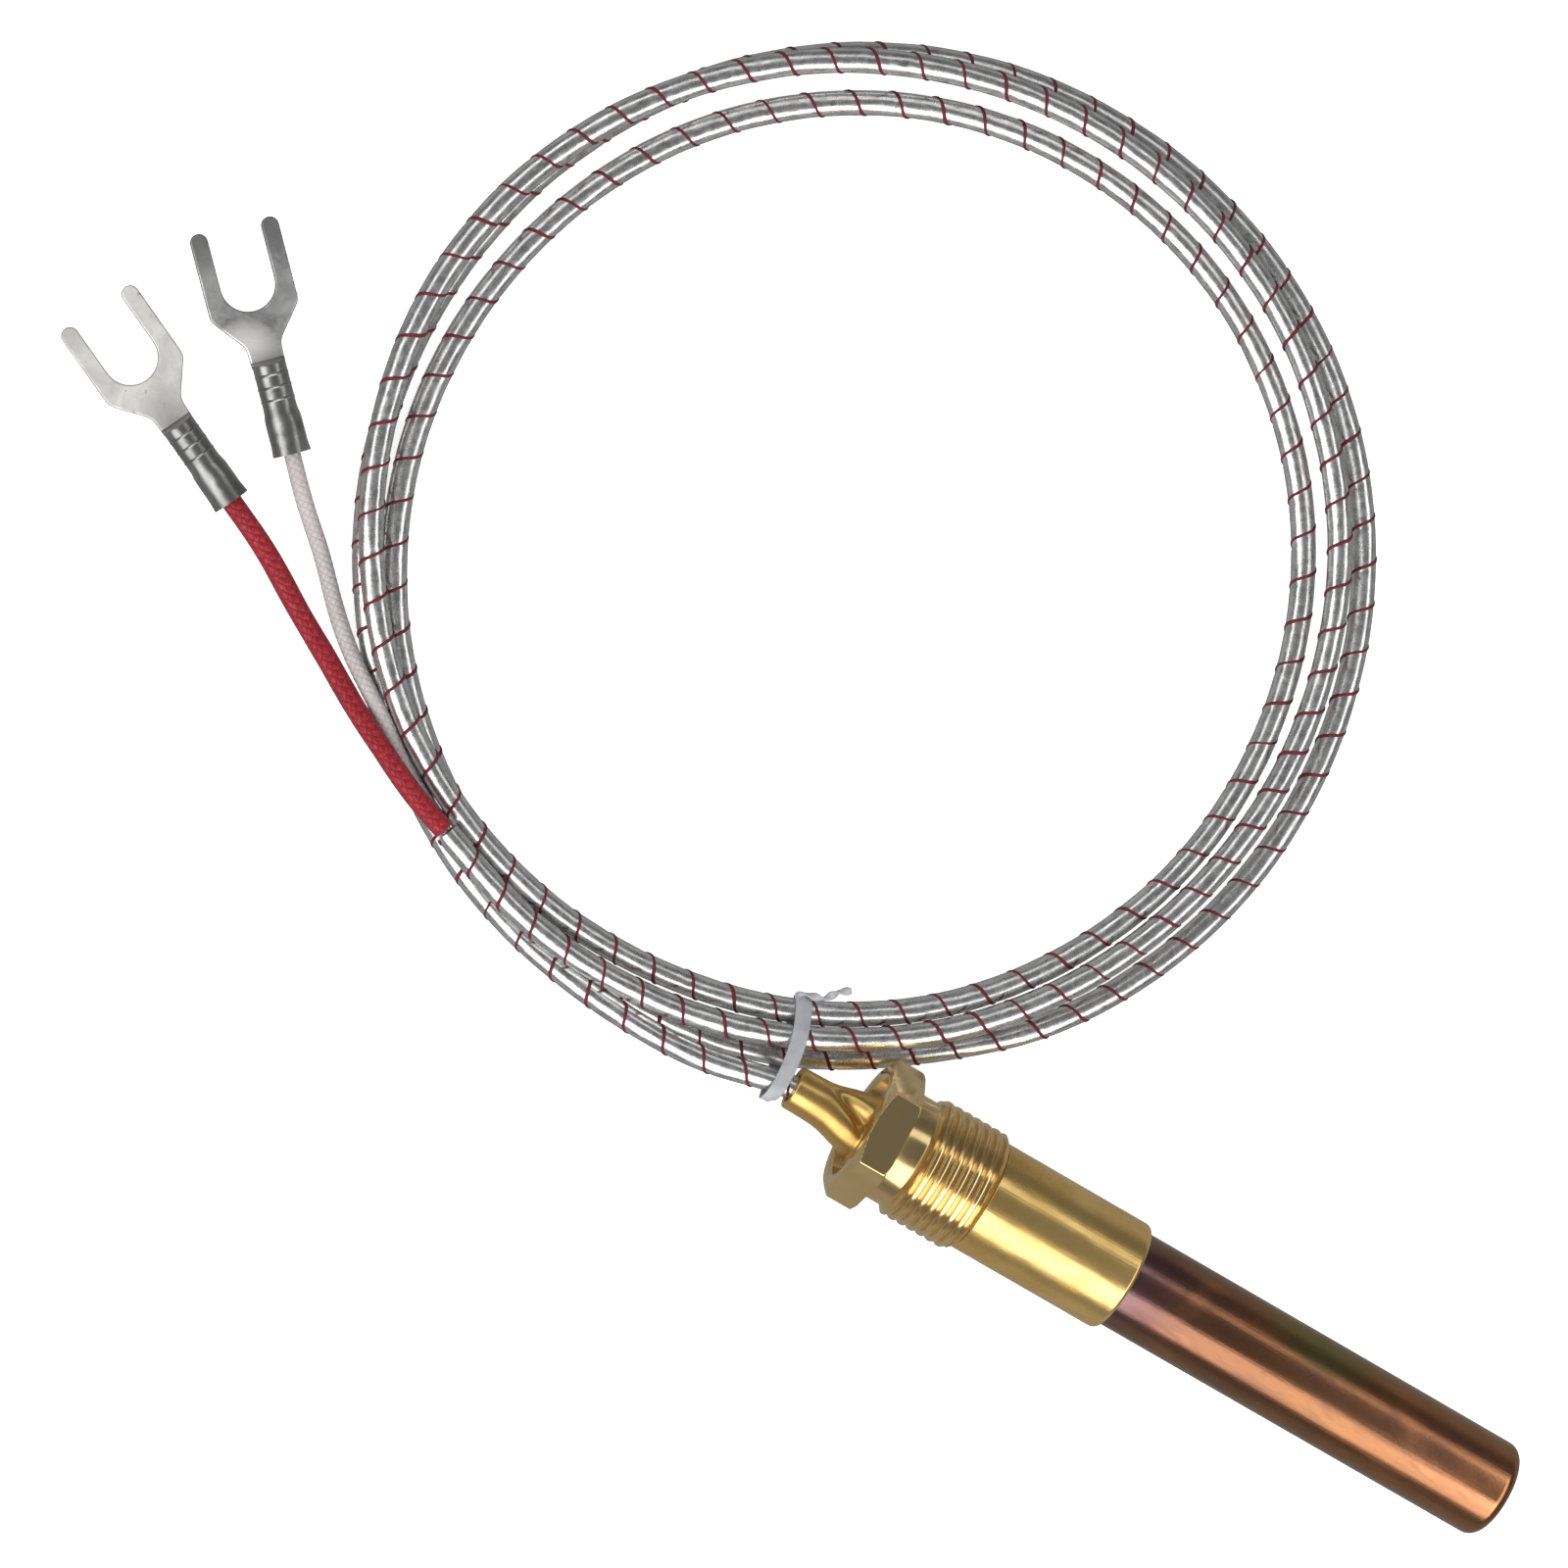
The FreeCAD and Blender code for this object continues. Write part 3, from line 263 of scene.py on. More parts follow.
# ------------------------------------------------------------------ shader helpers
class Nodes:
    """Builds nodes in one tree. Inputs take either a value or another node's socket."""

    def __init__(self, tree):
        self.tree = tree
        self.origin = tree.nodes.new("ShaderNodeTexCoord")

    def add(self, kind, **settings):
        node = self.tree.nodes.new(kind)
        for key, value in settings.items():
            setattr(node, key, value)
        return node

    def feed(self, socket, value):
        if isinstance(value, bpy.types.NodeSocket):
            self.tree.links.new(value, socket)
        elif socket.type == "RGBA":
            socket.default_value = (*value, 1)
        else:
            socket.default_value = value

    def coords(self, space, scale):
        mapping = self.add("ShaderNodeMapping")
        self.feed(mapping.inputs["Vector"], self.origin.outputs[space])
        self.feed(mapping.inputs["Scale"], scale if isinstance(scale, tuple) else (scale,) * 3)
        return mapping.outputs["Vector"]

    def axes(self, space):
        node = self.add("ShaderNodeSeparateXYZ")
        self.feed(node.inputs[0], self.origin.outputs[space])
        return node.outputs

    def noise(self, scale, detail, rough=0.5, warp=0.0, space="Object"):
        node = self.add("ShaderNodeTexNoise")
        self.feed(node.inputs["Vector"], self.coords(space, scale))
        self.feed(node.inputs["Scale"], 1.0)
        self.feed(node.inputs["Detail"], detail)
        self.feed(node.inputs["Roughness"], rough)
        self.feed(node.inputs["Distortion"], warp)
        return node.outputs["Fac"]

    def ramp(self, factor, stops):
        """Colour ramp through (position, colour) stops."""
        node = self.add("ShaderNodeValToRGB")
        elements = node.color_ramp.elements
        while len(elements) < len(stops):
            elements.new(0.5)
        for element, (position, colour) in zip(elements, stops):
            element.position = position
            element.color = (*colour, 1)
        self.feed(node.inputs["Fac"], factor)
        return node.outputs["Color"]

    def fade(self, mask, span, levels=(0.0, 1.0)):
        """Grey ramp from the first level to the second as the mask crosses the span."""
        return self.ramp(mask, [(at, (level,) * 3) for at, level in zip(span, levels)])

    def math(self, operation, *values, clamp=False):
        node = self.add("ShaderNodeMath", operation=operation, use_clamp=clamp)
        for socket, value in zip(node.inputs, values):
            self.feed(socket, value)
        return node.outputs[0]

    def mix(self, factor, first, second):
        node = self.add("ShaderNodeMix", data_type="RGBA")
        # a Mix node keeps its colour sockets at inputs 6 and 7 and output 2
        for index, value in ((0, factor), (6, first), (7, second)):
            self.feed(node.inputs[index], value)
        return node.outputs[2]

    def tint(self, base, colour, mask, span, amount):
        """Moves the base towards the colour, up to `amount`, where the mask passes the span."""
        return self.mix(self.math("MULTIPLY", self.fade(mask, span), amount), base, colour)

    def spot(self, axes, centre, radii):
        """1 at the centre of an ellipse in XY, falling to 0 at its rim."""
        squares = [self.math("POWER", self.math("DIVIDE", self.math("SUBTRACT", axes[axis], at), radius), 2.0)
                   for axis, at, radius in zip("XY", centre, radii)]
        return self.math("SUBTRACT", 1.0, self.math("ADD", *squares), clamp=True)

    def facing(self):
        node = self.add("ShaderNodeLayerWeight")
        self.feed(node.inputs["Blend"], 0.5)
        return node.outputs["Facing"]

    def bump(self, height, strength, depth, under=None):
        """Bump of the given depth in metres, on top of the normal `under`."""
        node = self.add("ShaderNodeBump")
        self.feed(node.inputs["Height"], height)
        self.feed(node.inputs["Strength"], strength)
        self.feed(node.inputs["Distance"], depth)
        if under is not None:
            self.feed(node.inputs["Normal"], under)
        return node.outputs["Normal"]


class Material(Nodes):
    def __init__(self, name, metallic=0.0):
        self.material = bpy.data.materials.new(name)
        self.material.use_nodes = True
        super().__init__(self.material.node_tree)
        self.surface = self.tree.nodes["Principled BSDF"].inputs
        self.feed(self.surface["Metallic"], metallic)

    def finish(self, colour, rough, normal=None):
        self.feed(self.surface["Base Color"], colour)
        self.feed(self.surface["Roughness"], rough)
        if normal is not None:
            self.feed(self.surface["Normal"], normal)
        return self.material


# ------------------------------------------------------------------ materials
def brass(name, bright, dark, rings, along, rough, mottle, metallic):
    """Brass with `rings` of turning marks and `along` of marks lengthwise."""
    mat = Material(name, metallic)
    cloud = mat.noise(scale=(160, 260, 260), detail=4, rough=0.55, warp=0.4)
    colour = mat.mix(mat.fade(cloud, span=(0.35, 0.68)), bright, dark)
    fine = mat.noise(scale=900, detail=3, rough=0.6)
    colour = mat.tint(colour, (0.45, 0.28, 0.08), fine, span=(0.55, 0.8), amount=mottle)
    ring = mat.noise(scale=(9000, 240, 240), detail=4, rough=0.65)
    line = mat.noise(scale=(60, 5200, 5200), detail=4, rough=0.6)
    marks = mat.math("ADD", mat.math("MULTIPLY", ring, rings), mat.math("MULTIPLY", line, along))
    normal = mat.bump(marks, strength=0.22, depth=0.00006)
    waves = mat.noise(scale=(130, 300, 300), detail=2)
    normal = mat.bump(waves, strength=0.25, depth=0.0004, under=normal)
    return mat.finish(colour, mat.fade(cloud, span=(0.3, 0.75), levels=rough), normal)


def copper():
    """Copper whose heat tint fades from the sleeve to the tip."""
    mat = Material("copper_heat_tint", metallic=0.97)
    axes = mat.axes("Object")
    along = mat.math("DIVIDE", mat.math("SUBTRACT", axes["X"], SLEEVE_FRONT * MM),
                     (TUBE_FRONT - SLEEVE_FRONT) * MM)
    colour = mat.ramp(along, [
        (0.0, (0.23, 0.135, 0.135)), (0.07, (0.24, 0.12, 0.095)), (0.2, (0.31, 0.145, 0.08)),
        (0.5, (0.36, 0.165, 0.075)), (0.82, (0.40, 0.18, 0.085)), (1.0, (0.44, 0.20, 0.10))])
    blot = mat.noise(scale=(90, 220, 220), detail=4, rough=0.55, warp=0.8)
    colour = mat.tint(colour, (0.17, 0.085, 0.075), blot, span=(0.48, 0.72), amount=0.6)
    warm = mat.noise(scale=(70, 160, 190), detail=3, warp=1.2)
    colour = mat.tint(colour, (0.62, 0.27, 0.11), warm, span=(0.55, 0.75), amount=0.5)
    # olive patch on the +Y side, part way along
    olive = mat.spot(axes, centre=(0.0365, 0.0042), radii=(0.0075, 0.0026))
    olive = mat.math("MULTIPLY", olive, mat.fade(blot, span=(0.3, 0.6), levels=(0.4, 1.0)))
    colour = mat.mix(mat.math("MULTIPLY", olive, 0.8), colour, (0.24, 0.24, 0.07))
    fine = mat.noise(scale=(700, 2200, 2200), detail=4, rough=0.6)
    colour = mat.tint(colour, (0.17, 0.07, 0.05), fine, span=(0.5, 0.8), amount=0.35)
    line = mat.noise(scale=(50, 4200, 4200), detail=4, rough=0.6)
    normal = mat.bump(line, strength=0.16, depth=0.00006)
    pits = mat.noise(scale=2600, detail=2, rough=0.6)
    normal = mat.bump(pits, strength=0.10, depth=0.00006, under=normal)
    waves = mat.noise(scale=(60, 260, 260), detail=2)
    normal = mat.bump(waves, strength=0.22, depth=0.0004, under=normal)
    # painted shade: the colour moves towards dark olive-brown at grazing angles, darkening the tube's edges
    colour = mat.tint(colour, (0.25, 0.17, 0.065), mat.facing(), span=(0.30, 0.85), amount=0.75)
    return mat.finish(colour, mat.fade(blot, span=(0.3, 0.75), levels=(0.19, 0.29)), normal)


def foil():
    mat = Material("crinkled_foil", metallic=0.97)
    crease = mat.noise(scale=(9.0, 0.55, 1), detail=3, rough=0.55, warp=0.5, space="UV")
    broad = mat.noise(scale=(3.0, 1.1, 1), detail=3, rough=0.55, warp=0.4, space="UV")
    fleck = mat.noise(scale=1100, detail=3, rough=0.6)
    fine = mat.noise(scale=3600, detail=2, rough=0.6)
    colour = mat.mix(mat.fade(crease, span=(0.38, 0.62)), (0.90, 0.895, 0.88), (0.66, 0.66, 0.655))
    colour = mat.tint(colour, (0.30, 0.30, 0.31), fleck, span=(0.60, 0.72), amount=0.22)
    normal = mat.bump(crease, strength=0.16, depth=0.00013)
    normal = mat.bump(broad, strength=0.22, depth=0.00009, under=normal)
    normal = mat.bump(fleck, strength=0.06, depth=0.00004, under=normal)
    normal = mat.bump(fine, strength=0.05, depth=0.00002, under=normal)
    # painted shade: the colour moves towards dark grey at grazing angles, darkening the sides of each strand
    colour = mat.tint(colour, (0.17, 0.17, 0.175), mat.facing(), span=(0.40, 0.90), amount=0.72)
    return mat.finish(colour, mat.fade(broad, span=(0.3, 0.7), levels=(0.21, 0.34)), normal)


def thread():
    mat = Material("tracer_thread_red")
    wave = mat.add("ShaderNodeTexWave", wave_type="BANDS", bands_direction="DIAGONAL")
    mat.feed(wave.inputs["Scale"], 1.6)
    mat.feed(wave.inputs["Distortion"], 1.0)
    mat.feed(wave.inputs["Vector"], mat.coords("UV", (3.0, 2.2, 1)))
    twist = wave.outputs["Fac"]
    colour = mat.mix(twist, (0.085, 0.004, 0.010), (0.19, 0.010, 0.024))
    return mat.finish(colour, rough=0.7, normal=mat.bump(twist, strength=0.5, depth=0.0001))


def braid(name, light, dark, fleck, around, pitch, depth, rough):
    """Woven sleeve from two crossing sets of diagonal yarns in UV space."""
    mat = Material(name)
    axes = mat.axes("UV")
    wander = mat.noise(scale=(3.0, 1.2, 1), detail=2, space="UV")
    turn = mat.math("MULTIPLY", axes["X"], math.pi * around)
    run = mat.math("ADD", mat.math("MULTIPLY", axes["Y"], 2 * math.pi / pitch),
                   mat.math("MULTIPLY", wander, 1.6))
    yarn_a = mat.math("SINE", mat.math("ADD", turn, run))
    yarn_b = mat.math("SINE", mat.math("SUBTRACT", turn, run))
    cell = mat.math("ABSOLUTE", mat.math("MULTIPLY", yarn_a, yarn_b))
    checker = mat.math("GREATER_THAN", mat.math("MULTIPLY", yarn_a, yarn_b), 0.0)
    yarn = mat.math("POWER", cell, 0.42)
    hair = mat.noise(scale=(46.0, 5.0, 1), detail=3, rough=0.7, space="UV")
    soft = mat.noise(scale=(5.0, 0.35, 1), detail=3, rough=0.6, space="UV")
    worn = mat.noise(scale=(11.0, 1.9, 1), detail=3, rough=0.6, space="UV")
    # painted shade: the colour falls towards the dark colour between the yarns, where the weave dips
    colour = mat.mix(mat.fade(yarn, span=(0.05, 0.7), levels=(0.55, 1.0)), dark, light)
    colour = mat.mix(mat.math("MULTIPLY", checker, 0.16), colour, fleck)
    colour = mat.tint(colour, fleck, worn, span=(0.56, 0.68), amount=0.50)
    colour = mat.tint(colour, dark, soft, span=(0.4, 0.7), amount=0.35)
    colour = mat.mix(mat.math("MULTIPLY", hair, 0.25), colour, dark)
    normal = mat.bump(yarn, strength=0.7, depth=depth)
    normal = mat.bump(hair, strength=0.4, depth=0.00005, under=normal)
    # painted shade: the colour moves towards the dark colour at grazing angles, darkening the sleeve's sides
    colour = mat.tint(colour, dark, mat.facing(), span=(0.40, 0.92), amount=0.75)
    mat.feed(mat.surface["Specular IOR Level"], 0.32)
    mat.feed(mat.surface["Sheen Weight"], 0.05)
    return mat.finish(colour, rough, normal)


def tin(name, light, grey, metallic, rough=(0.30, 0.50), spots=0.5, patches=(), edge=0.9):
    """Tinned metal; patches are (x, y, radius, colour, amount) in metres."""
    mat = Material(name, metallic)
    cloud = mat.noise(scale=260, detail=5, rough=0.62, warp=0.7)
    fine = mat.noise(scale=1900, detail=3, rough=0.65)
    colour = mat.mix(mat.fade(cloud, span=(0.36, 0.64)), light, grey)
    colour = mat.tint(colour, grey, fine, span=(0.50, 0.72), amount=0.35)
    specks = mat.noise(scale=900, detail=2)
    colour = mat.tint(colour, (0.34, 0.26, 0.18), specks, span=(0.66, 0.73), amount=spots)
    scratches = mat.noise(scale=(420, 3800, 900), detail=3, rough=0.7, warp=0.3)
    colour = mat.tint(colour, light, scratches, span=(0.60, 0.72), amount=0.40)
    # each patch mixes its colour into a round spot; the blades use them for a painted highlight and painted
    # shade at their necks, and for darker tine tips
    for x, y, radius, patch_colour, amount in patches:
        patch = mat.spot(mat.axes("Object"), centre=(x, y), radii=(radius, radius))
        colour = mat.mix(mat.math("MULTIPLY", patch, amount), colour, patch_colour)
    # painted shade: the colour darkens towards 0.12 times the grey at grazing angles, so the bevelled edges
    # read dark; edge sets how far
    rim = mat.fade(mat.facing(), span=(0.10, 0.45), levels=(0.0, edge))
    colour = mat.mix(rim, colour, tuple(0.12 * c for c in grey))
    normal = mat.bump(cloud, strength=0.30, depth=0.00022)
    normal = mat.bump(fine, strength=0.25, depth=0.00005, under=normal)
    return mat.finish(colour, mat.fade(cloud, span=(0.3, 0.7), levels=rough), normal)


def plain(name, first, second, scale, metallic, rough, strength):
    mat = Material(name, metallic)
    cloud = mat.noise(scale=scale, detail=4, rough=0.6, warp=0.2)
    colour = mat.mix(mat.fade(cloud, span=(0.3, 0.7)), first, second)
    normal = mat.bump(cloud, strength=strength, depth=0.0001)
    return mat.finish(colour, mat.fade(cloud, span=(0.3, 0.7), levels=rough), normal)


BRASS = brass("brass_drawn", bright=(0.94, 0.65, 0.25), dark=(0.76, 0.49, 0.15),
              rings=0.25, along=0.8, rough=(0.21, 0.31), mottle=0.25, metallic=0.93)
NUT_BRASS = brass("brass_turned", bright=(0.90, 0.68, 0.33), dark=(0.78, 0.56, 0.25),
                  rings=0.06, along=0.1, rough=(0.15, 0.25), mottle=0.075, metallic=0.96)
CAP_BRASS = brass("brass_formed", bright=(0.86, 0.58, 0.20), dark=(0.64, 0.40, 0.12),
                  rings=0.3, along=0.2, rough=(0.24, 0.36), mottle=0.25, metallic=0.93)
COPPER = copper()
FOIL = foil()
THREAD = thread()
RED_BRAID = braid("red_braid", light=(0.31, 0.003, 0.011), dark=(0.11, 0.001, 0.004),
                  fleck=(0.50, 0.08, 0.11), depth=0.00016, rough=0.36, **RED_WEAVE)
WHITE_BRAID = braid("white_braid", light=(0.53, 0.485, 0.48), dark=(0.32, 0.285, 0.285),
                    fleck=(0.48, 0.37, 0.37), depth=0.00010, rough=0.48, **WHITE_WEAVE)
# patches on the grey blade: a painted highlight at the neck, then two grey spots darkening the tine tips
TIN_GREY = tin("tin_plate_grey", light=(0.58, 0.58, 0.565), grey=(0.235, 0.235, 0.235),
               metallic=0.70, patches=((-0.1010, 0.0338, 0.0036, (0.97, 0.96, 0.93), 1.0),
                                       (-0.1108, 0.0409, 0.0042, (0.17, 0.17, 0.17), 0.75),
                                       (-0.1062, 0.0458, 0.0042, (0.17, 0.17, 0.17), 0.75)))
# patches on the light blade: painted shade at the neck by the barrel, then a grey spot darkening one tine tip
TIN_LIGHT = tin("tin_plate_light", light=(0.76, 0.74, 0.70), grey=(0.52, 0.51, 0.485),
                metallic=0.35, rough=(0.32, 0.5), spots=0.8,
                patches=((-0.1052, 0.0257, 0.0026, (0.36, 0.36, 0.35), 0.6),
                         (-0.1180, 0.0260, 0.0040, (0.38, 0.37, 0.35), 0.5)))
TIN_BARREL = tin("tin_barrel", light=(0.42, 0.42, 0.405), grey=(0.24, 0.24, 0.235),
                 metallic=0.95, rough=(0.26, 0.38), spots=0.3, edge=0.0)

# Two-tone materials: name, first colour, second colour, noise scale, metallic,
# roughness range, bump strength. No piece wears dark_bore.
PLAIN = {row[0]: plain(*row) for row in [
    ("tie_plastic", (0.31, 0.315, 0.33), (0.38, 0.385, 0.40), 500, 0.0, (0.36, 0.5), 0.15),
    ("dark_bore", (0.05, 0.045, 0.04), (0.03, 0.03, 0.03), 900, 0.0, (0.5, 0.7), 0.3),
    ("ceramic", (0.78, 0.74, 0.66), (0.68, 0.64, 0.56), 800, 0.0, (0.7, 0.9), 0.3),
    ("tinned_wire", (0.70, 0.69, 0.66), (0.5, 0.5, 0.49), 2500, 1.0, (0.25, 0.4), 0.3),
    ("alloy_positive", (0.5, 0.48, 0.45), (0.35, 0.33, 0.31), 2500, 1.0, (0.35, 0.5), 0.3),
    ("alloy_negative", (0.56, 0.5, 0.4), (0.42, 0.37, 0.3), 2500, 1.0, (0.35, 0.5), 0.3),
    ("weld", (0.22, 0.2, 0.19), (0.12, 0.12, 0.12), 3000, 1.0, (0.4, 0.6), 0.3),
    ("mica", (0.62, 0.56, 0.44), (0.5, 0.45, 0.36), 900, 0.0, (0.3, 0.5), 0.3),
    ("core_yarn_red", (0.42, 0.03, 0.05), (0.28, 0.015, 0.03), 2600, 0.0, (0.7, 0.85), 0.5),
    ("core_yarn_white", (0.66, 0.62, 0.56), (0.5, 0.46, 0.42), 2600, 0.0, (0.7, 0.85), 0.5),
]}
TIE = PLAIN["tie_plastic"]

# CAD pieces that keep their own mesh
for material, names in (
        (PLAIN["ceramic"], ("ceramic_former", "front_spacer", "rear_spacer", "ceramic_potting")),
        (PLAIN["mica"], ("mica_liner",)),
        (PLAIN["alloy_positive"], ("positive_elements",)),
        (PLAIN["alloy_negative"], ("negative_elements",)),
        (PLAIN["weld"], ("hot_junction_beads", "cold_junction_beads")),
        (BRASS, ("positive_splice", "negative_splice")),
        (PLAIN["tinned_wire"], ("positive_bare_end", "negative_bare_end",
                                "red_lead_conductor", "white_lead_conductor")),
        (PLAIN["core_yarn_red"], ("positive_core_tail",)),
        (PLAIN["core_yarn_white"], ("negative_core_tail", "insulated_core_pair"))):
    for name in names:
        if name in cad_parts:
            give(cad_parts[name], material)


# ------------------------------------------------------------------ probe tube and sleeve
def probe_tube():
    """Thin tube with a rounded, closed front end."""
    tip_round, bore, end_inside = 1.3, 4.55, 59.5
    axis_gap = 0.02                           # keeps the end faces just off the axis
    profile = [(TUBE_REAR, TUBE_RADIUS), (TUBE_FRONT - tip_round, TUBE_RADIUS)]
    profile += [(TUBE_FRONT - tip_round + tip_round * math.sin(a),
                 TUBE_RADIUS - tip_round + tip_round * math.cos(a))
                for a in np.linspace(0.15, math.pi / 2, 12)]
    profile += [(TUBE_FRONT, 2.0), (TUBE_FRONT + 0.02, axis_gap), (end_inside, axis_gap),
                (end_inside, bore), (TUBE_REAR, bore)]
    fit(lathe("probe_tube", profile, 256), COPPER, "probe", "protection_tube")


def sleeve():
    """Sleeve round the rear of the tube, running back through the nut."""
    profile = [(0.0, 4.8), (0.0, 5.62), (0.12, 5.7), (16.0, 5.7), (16.32, 5.55),
               (SLEEVE_FRONT, 5.2), (16.35, TUBE_RADIUS), (TUBE_REAR, TUBE_RADIUS),
               (TUBE_REAR, 3.9), (SLEEVE_REAR, 3.9), (SLEEVE_REAR, 4.8)]
    obj = lathe("sleeve_brass", rounded(profile, radius=0.09, count=4), 256)
    fit(obj, BRASS, "probe", "brass_sleeve")


probe_tube()
sleeve()

# ------------------------------------------------------------------ crimped rear cap
# Outside of the cap from its dome back to the neck mouth: x, radius
CAP_OUTSIDE = [
    (SLEEVE_REAR, 4.7), (-12.55, 4.66), (-12.7, 4.45), (-12.85, 3.95), (-13.05, 3.45), (-13.4, 3.16),
    (-14.0, 3.02), (-14.8, 2.90), (-15.6, 2.76), (-16.4, 2.60), (-17.2, 2.44), (-18.0, 2.32),
    (-19.0, 2.25), (-20.0, 2.22), (-20.8, 2.22), (-21.04, 2.18), (-21.1, 2.10), (-21.1, 1.62),
    (-21.0, 1.52), (-17.2, 1.42),
]
CAP_INSIDE = [(-17.2, 1.42), (-15.3, 1.9), (-13.4, 2.2), (SLEEVE_REAR, 3.9)]


def crimp(x, radius, theta):
    """Two opposite dents, turning along the neck between its round end and the dome."""
    if radius < 1.8 or radius > 4.0:
        return np.full_like(theta, radius)
    dent_at = 22 + (x + 17.6) / 4.4 * 62      # degrees round X

    def dent(at, width):
        off = np.degrees(np.arccos(np.clip(np.cos(theta - math.radians(at)), -1, 1)))
        return np.exp(-(off / width) ** 2)
    depth = logistic(x, -17.0, 0.45) * (1 - logistic(x, -13.2, 0.15))
    swell = 1 + 0.07 * depth * np.cos(2 * (theta - math.radians(dent_at - 90)))
    return radius * swell - depth * (1.05 * dent(dent_at, 19) + 0.6 * dent(dent_at + 180, 20))


def rear_cap():
    step = 0.15
    profile = []
    for start, end in zip(np.array(CAP_OUTSIDE), np.array(CAP_OUTSIDE[1:])):
        count = max(1, int(np.linalg.norm(end - start) / step))
        profile += [tuple(start + (end - start) * i / count) for i in range(count)]
    profile += CAP_INSIDE
    obj = lathe("rear_cap", profile[::-1], 160, sharp=45, shape=crimp)
    fit(obj, CAP_BRASS, "probe", "crimped_rear_cap")


rear_cap()

# ------------------------------------------------------------------ attachment nut
ACROSS_FLATS = 13.1
HEX_TURN = math.radians(-9.4)
NUT_REAR, HEX_FRONT_BEVEL, NUT_FRONT = -13.7, -10.38, -0.1
THREAD_START = -7.88
NUT_PITCH, NUT_THREAD_RADIUS = 1.058, 6.35


def thread_radius(x, theta):
    """Helical thread with flat crests, tapering at both ends."""
    phase = np.mod(x / NUT_PITCH - theta / TURN, 1.0)
    off_crest = np.abs(phase - 0.5)           # 0 at the crest, 0.5 at the root
    flank = np.clip((off_crest * 2 - 0.36) / 0.56, 0, 1)
    depth = 0.46 * (0.5 - 0.5 * np.cos(np.pi * flank))
    depth += np.where(flank > 0, 0.03, 0.03 * (off_crest / 0.18) ** 2)
    rear_taper = 5.72 + (x - THREAD_START) * 1.25
    front_taper = 5.80 + (NUT_FRONT - x)
    return np.minimum(NUT_THREAD_RADIUS - depth, min(rear_taper, front_taper))


def nut():
    theta = angles(720)
    hexagon = ACROSS_FLATS / 2 / np.cos(np.mod(theta - HEX_TURN, math.pi / 3) - math.pi / 6) * 0.9965
    corner_cap = 7.5
    bore = 4.88
    # bore from front to rear, then the rear face: x, radius
    profile = [(NUT_FRONT, 4.95), (-0.18, bore)]
    profile += [(x, bore) for x in np.linspace(-2, -11.9, 6)]
    profile += [(-12.05, 4.93), (-12.1, 5.2), (-12.15, 5.25), (-13.35, 5.25), (-13.42, 5.28),
                (-13.64, 5.5), (NUT_REAR, 5.58), (NUT_REAR, 5.9), (NUT_REAR, 6.3)]
    # hexagon, cut by a cone at each end
    for x in (NUT_REAR, -13.66, -13.6, -13.5, -13.4, -13.3, -13.2, -13.1, -13.0, -12.9, -12.8,
              -12.6, -12.3, -11.9, -11.4, -10.9, -10.5):
        profile.append((x, np.minimum(hexagon, min(6.42 + (x - NUT_REAR) * 1.9, corner_cap))))
    for x in (HEX_FRONT_BEVEL, -10.34, -10.3, -10.26, -10.22, -10.2):
        profile.append((x, np.minimum(hexagon, min(7.44 - (x - HEX_FRONT_BEVEL) * 2.2, corner_cap))))
    # front face of the hexagon and the plain neck
    profile += [(-10.2, 6.2), (-10.19, 5.8), (-10.12, 5.68), (-10.0, 5.65), (-9.0, 5.65),
                (-8.1, 5.65), (-7.95, 5.68)]
    profile += [(x, thread_radius(x, theta)) for x in np.arange(THREAD_START, NUT_FRONT, 0.03)]
    profile += [(NUT_FRONT, 5.55), (NUT_FRONT, 5.2)]
    grid = ring_rows(profile, theta)
    obj = grid_mesh("nut_brass", grid[::-1, ::-1], 52, run_length(grid[:, 0]), closed=True)
    fit(obj, NUT_BRASS, "nut", "attachment_nut")


nut()

# ------------------------------------------------------------------ cable
cable, cable_at = spline(CABLE_LAY, 0.3)
cable_normals, cable_binormals = frames(cable)


def cable_foil():
    """Crinkled foil sheath with a shallow groove that winds at the thread's pitch."""
    rows, segments = len(cable), 28
    theta = angles(segments)
    crinkle = smooth_noise(rows, segments, 12, 2.2, seed=3) * 0.012
    crinkle += smooth_noise(rows, segments, 4, 2.0, seed=5) * 0.004
    drift = smooth_line(rows, 60, seed=9) * 0.015
    phase = TURN * cable_at / THREAD_PITCH_CABLE
    off_groove = np.mod(theta[None, :] - phase[:, None] + np.pi, TURN) - np.pi
    groove = np.exp(-(off_groove / 0.32) ** 2) * -0.045
    radius = np.minimum(1.215 + crinkle + drift[:, None] + groove, 1.27)
    grid = section_rows(cable, cable_normals, cable_binormals,
                        radius * np.cos(theta), radius * np.sin(theta))
    fit(grid_mesh("cable_foil", grid, 60, cable_at), FOIL, "probe", "cable_sheath")


